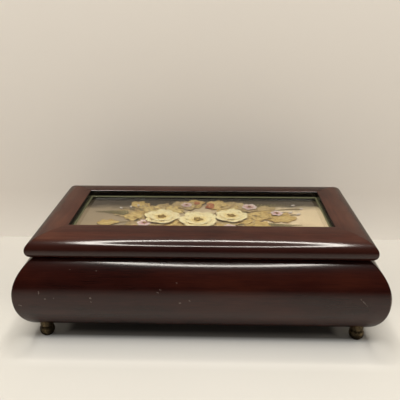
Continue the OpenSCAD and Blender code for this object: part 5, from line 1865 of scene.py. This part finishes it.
@dataclass(frozen=True)
class Studio:
    """A pale table, a pale wall close behind the box, and a round ceiling lamp.

    The skies are what matt surfaces, gloss and the camera see of the world, as colours and strengths.
    """

    half_w: float = 2600.0
    front: float = 3600.0
    wall_y: float = 95.0
    wall_height: float = 480.0
    lamp_height: float = 1450.0
    lamp_y: float = -170.0
    lamp_radii: tuple[float, float] = (410.0, 500.0)
    lamps: int = 30
    lamp_disc: float = 104.0
    power: float = 0.84
    lamp_colour: Colour = (1.0, 0.945, 0.865)
    skies: tuple[tuple[Colour, float], ...] = (
        ((1.0, 0.965, 0.91), 0.22), ((1.0, 0.95, 0.90), 0.015), ((0.74, 0.70, 0.64), 1.0))
    unmirrored: tuple[str, ...] = ("glass_pane", "movement_cover")
    table_near: tuple[Colour, Colour] = ((0.67, 0.657, 0.613), (0.70, 0.687, 0.647))
    table_far: Colour = (0.845, 0.825, 0.775)
    table_gloss_shade: Colour = (0.05, 0.045, 0.04)
    table_painted_shadow: Colour = (0.045, 0.038, 0.036)
    table_painted_glow: float = 0.30
    wall_lift: float = 0.30
    gloss_shade_half: tuple[float, float] = (104.0, 58.0)
    painted_shadow_half: tuple[float, float] = (84.0, 42.5)
    wall_painted_light_tones: tuple[Colour, Colour] = ((0.62, 0.565, 0.50), (0.80, 0.75, 0.68))
    wall_foot: Colour = (0.745, 0.70, 0.635)
    wall_gloss_shade: Colour = (0.10, 0.09, 0.08)

    def one_sided(self, t: Tree, node: Node) -> Material:
        """Leaves out a surface's back, so that views from behind it see the box.

        Args:
            t: the material's tree.
            node: the shader of its face.

        Returns:
            The material.
        """
        through = t.nodes.new("ShaderNodeBsdfTransparent")
        back = t.nodes.new("ShaderNodeNewGeometry").outputs["Backfacing"]
        return t.finish(t.mixed(back, node, through))

    def lifted(self, t: Tree, colour: Socket, lift: object, **sockets: object) -> Node:
        """A pale matt shader that is a little brighter to the camera, as a lit backdrop is.

        Args:
            t: the material's tree.
            colour: of the surface.
            lift: how much of the colour the camera sees besides.
            **sockets: further values for the shader.

        Returns:
            The shader's node.
        """
        node = t.shader(Base_Color=colour, Emission_Color=colour, Specular_IOR_Level=0.1, **sockets)
        seen = t.nodes.new("ShaderNodeLightPath").outputs["Is Camera Ray"]
        t.put(node.inputs["Emission Strength"], t.math("MULTIPLY", seen, lift))
        return node

    def plane(self, name: str, corners: Sequence[Point], material: Material) -> None:
        """A flat stage piece.

        Args:
            name: of the piece.
            corners: four of them, in the order that turns its face to the box.
            material: its finish.
        """
        mesh = bpy.data.meshes.new(name)
        mesh.from_pydata([tuple(c * MM for c in p) for p in corners], [], [(0, 1, 2, 3)])
        made = bpy.data.objects.new(name, mesh)
        bpy.context.scene.collection.objects.link(made)
        mesh.materials.append(material)

    def table(self) -> None:
        """The table, paler towards the wall, with a painted shadow under the box and painted shade where
        the box's gloss shows it.

        To the camera it has a painted pool of light just before the box. The masks' distances are in
        metres.
        """
        t = Tree("table_paper")
        cloud = t.noise(t.place, 3.0, detail=3)
        colour = t.mix(t.remap(cloud, 0.3, 0.7), *self.table_near)
        colour = t.mix(t.remap(t.axis(t.place, 1), 0.0, 0.085), colour, self.table_far)
        # Painted shade in reflections: to gloss rays the table darkens towards the camera and round the
        # box, standing for shade that falls there.
        mirrored = t.nodes.new("ShaderNodeLightPath").outputs["Is Glossy Ray"]
        near = t.remap(t.axis(t.place, 1), -0.34, -0.11, 0.68, 0.10)
        near = t.math("MAXIMUM", near, t.remap(t.beyond(*self.gloss_shade_half), -0.006, 0.006, 0.62, 0.0))
        colour = t.mix(t.math("MULTIPLY", mirrored, near), colour, self.table_gloss_shade)
        # Painted shadow: the table is darkened under the box, on top of the shadow that the lamps cast.
        under = t.remap(t.beyond(*self.painted_shadow_half), -0.006, 0.001, 0.80, 0.0, smooth_step=True)
        colour = t.mix(under, colour, self.table_painted_shadow)
        # Painted light: to the camera a strip of table just before the box glows, standing for light
        # bounced in front of it.
        front = t.math("MULTIPLY", t.axis(t.place, 1), -1.0)
        fade = t.remap(front, 0.054, 0.074, self.table_painted_glow, 0.0)
        lift = t.math("MULTIPLY", t.remap(front, 0.043, 0.0465), fade)
        wide = t.math("ABSOLUTE", t.axis(t.place, 0))
        lift = t.math("MULTIPLY", lift, t.remap(wide, 0.094, 0.112, 1.0, 0.0))
        paper = self.one_sided(t, self.lifted(t, colour, lift, Roughness=0.75))
        w, d = self.half_w, self.front
        self.plane("table", ((-w, -d, 0), (w, -d, 0), (w, w, 0), (-w, w, 0)), paper)

    def wall(self) -> None:
        """The wall: painted light makes it paler towards its top, and it is paler along the table too."""
        t = Tree("wall_paint")
        height = t.axis(t.place, 2)
        # Painted light: the wall brightens with height, standing for light that is stronger higher up.
        colour = t.mix(t.remap(height, 0.0, 0.25), *self.wall_painted_light_tones)
        colour = t.mix(t.remap(height, 0.0, 0.042, 1.0, 0.0), colour, self.wall_foot)
        # Painted shade in reflections: to gloss rays the wall is darkened by half, as if less light fell on
        # it.
        mirrored = t.nodes.new("ShaderNodeLightPath").outputs["Is Glossy Ray"]
        colour = t.mix(t.math("MULTIPLY", mirrored, 0.5), colour, self.wall_gloss_shade)
        paint = self.one_sided(t, self.lifted(t, colour, self.wall_lift, Roughness=0.9))
        w, y, top = self.half_w, self.wall_y, self.wall_height
        self.plane("wall", ((-w, y, 0), (w, y, 0), (w, y, top), (-w, y, top)), paint)

    def ceiling_lamp(self) -> None:
        """A ring of small disc lamps, none of which is mirrored in the glass or the clear cover."""
        matt = bpy.data.collections.new("no_lamp_glare")
        for node in self.unmirrored:
            matt.objects.link(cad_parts[node])
        for link in matt.collection_objects:
            link.light_linking.link_state = "EXCLUDE"
        for i, (x, y) in enumerate(circle(1.0, self.lamps) * np.array(self.lamp_radii)):
            lamp = bpy.data.lights.new(f"ceiling_lamp_{i}", "AREA")
            lamp.shape = "DISK"
            lamp.size = self.lamp_disc * MM
            lamp.energy = self.power
            lamp.color = self.lamp_colour
            held = bpy.data.objects.new(f"ceiling_lamp_{i}", lamp)
            held.location = (x * MM, (y + self.lamp_y) * MM, self.lamp_height * MM)
            bpy.context.scene.collection.objects.link(held)
            held.light_linking.receiver_collection = matt

    def room(self) -> None:
        """A dim room for gloss, and an even pale light for everything else."""
        world = bpy.data.worlds.new("room")
        bpy.context.scene.world = world
        world.use_nodes = True
        nodes, links = world.node_tree.nodes, world.node_tree.links
        nodes.clear()
        path = nodes.new("ShaderNodeLightPath")
        skies = []
        for colour, strength in self.skies:
            sky = nodes.new("ShaderNodeBackground")
            sky.inputs["Color"].default_value = (*colour, 1.0)
            sky.inputs["Strength"].default_value = strength
            skies.append(sky)
        shown = skies[0]
        for ray, sky in zip(("Is Glossy Ray", "Is Camera Ray"), skies[1:]):
            both = nodes.new("ShaderNodeMixShader")
            links.new(path.outputs[ray], both.inputs["Fac"])
            links.new(shown.outputs[0], both.inputs[1])
            links.new(sky.outputs[0], both.inputs[2])
            shown = both
        links.new(shown.outputs[0], nodes.new("ShaderNodeOutputWorld").inputs["Surface"])

    def build(self) -> None:
        """Builds the table, the wall, the lamp and the world."""
        self.table()
        self.wall()
        self.ceiling_lamp()
        self.room()


@dataclass(frozen=True)
class Viewpoint:
    """The camera: in front of the box, a little to the right and looking down at it."""

    place: Point = (8.45, -305.98, 189.37)
    pitch: float = 21.057
    yaw: float = -1.826
    roll: float = -0.263
    lens: float = 46.72

    def build(self) -> None:
        """Makes the camera from its pitch, yaw and roll.

        Forward is (sin yaw cos pitch, cos yaw cos pitch, -sin pitch), right is (cos yaw, -sin yaw, 0),
        up is right x forward, and the last two are turned by the roll.
        """
        p, y, r = (math.radians(a) for a in (self.pitch, self.yaw, self.roll))
        forward = Vector((math.sin(y) * math.cos(p), math.cos(y) * math.cos(p), -math.sin(p)))
        right = Vector((math.cos(y), -math.sin(y), 0))
        up = right.cross(forward)
        level = math.cos(r) * right + math.sin(r) * up
        upright = -math.sin(r) * right + math.cos(r) * up
        data = bpy.data.cameras.new("viewpoint")
        data.sensor_width = 36.0
        data.lens = self.lens
        data.clip_start = 0.01
        data.clip_end = 20.0
        held = bpy.data.objects.new("viewpoint", data)
        turn = Matrix((level, upright, -forward)).transposed().to_4x4()
        held.matrix_world = Matrix.Translation(Vector(self.place) * MM) @ turn
        bpy.context.scene.collection.objects.link(held)
        bpy.context.scene.camera = held


def main() -> None:
    """Builds every class in order."""
    logging.basicConfig(level=logging.INFO, format="%(name)s %(message)s")
    bpy.context.scene.view_settings.view_transform = "Standard"
    builders: tuple[tuple[str, Callable[[], None]], ...] = (
        ("viewpoint", Viewpoint().build),
        ("studio", Studio().build),
        ("case mouldings", CaseMouldings().build),
        ("ball feet", BallFeet().build),
        ("lid rails", LidRails().build),
        ("pressed spray", Spray().build),
        ("velvet linings", VelvetLinings().build),
        ("ring rolls", RingRolls().build),
        ("node finishes", NodeFinishes().build),
    )
    for name, build in builders:
        build()
        log.info("built the %s", name)


if __name__ == "__main__":
    main()
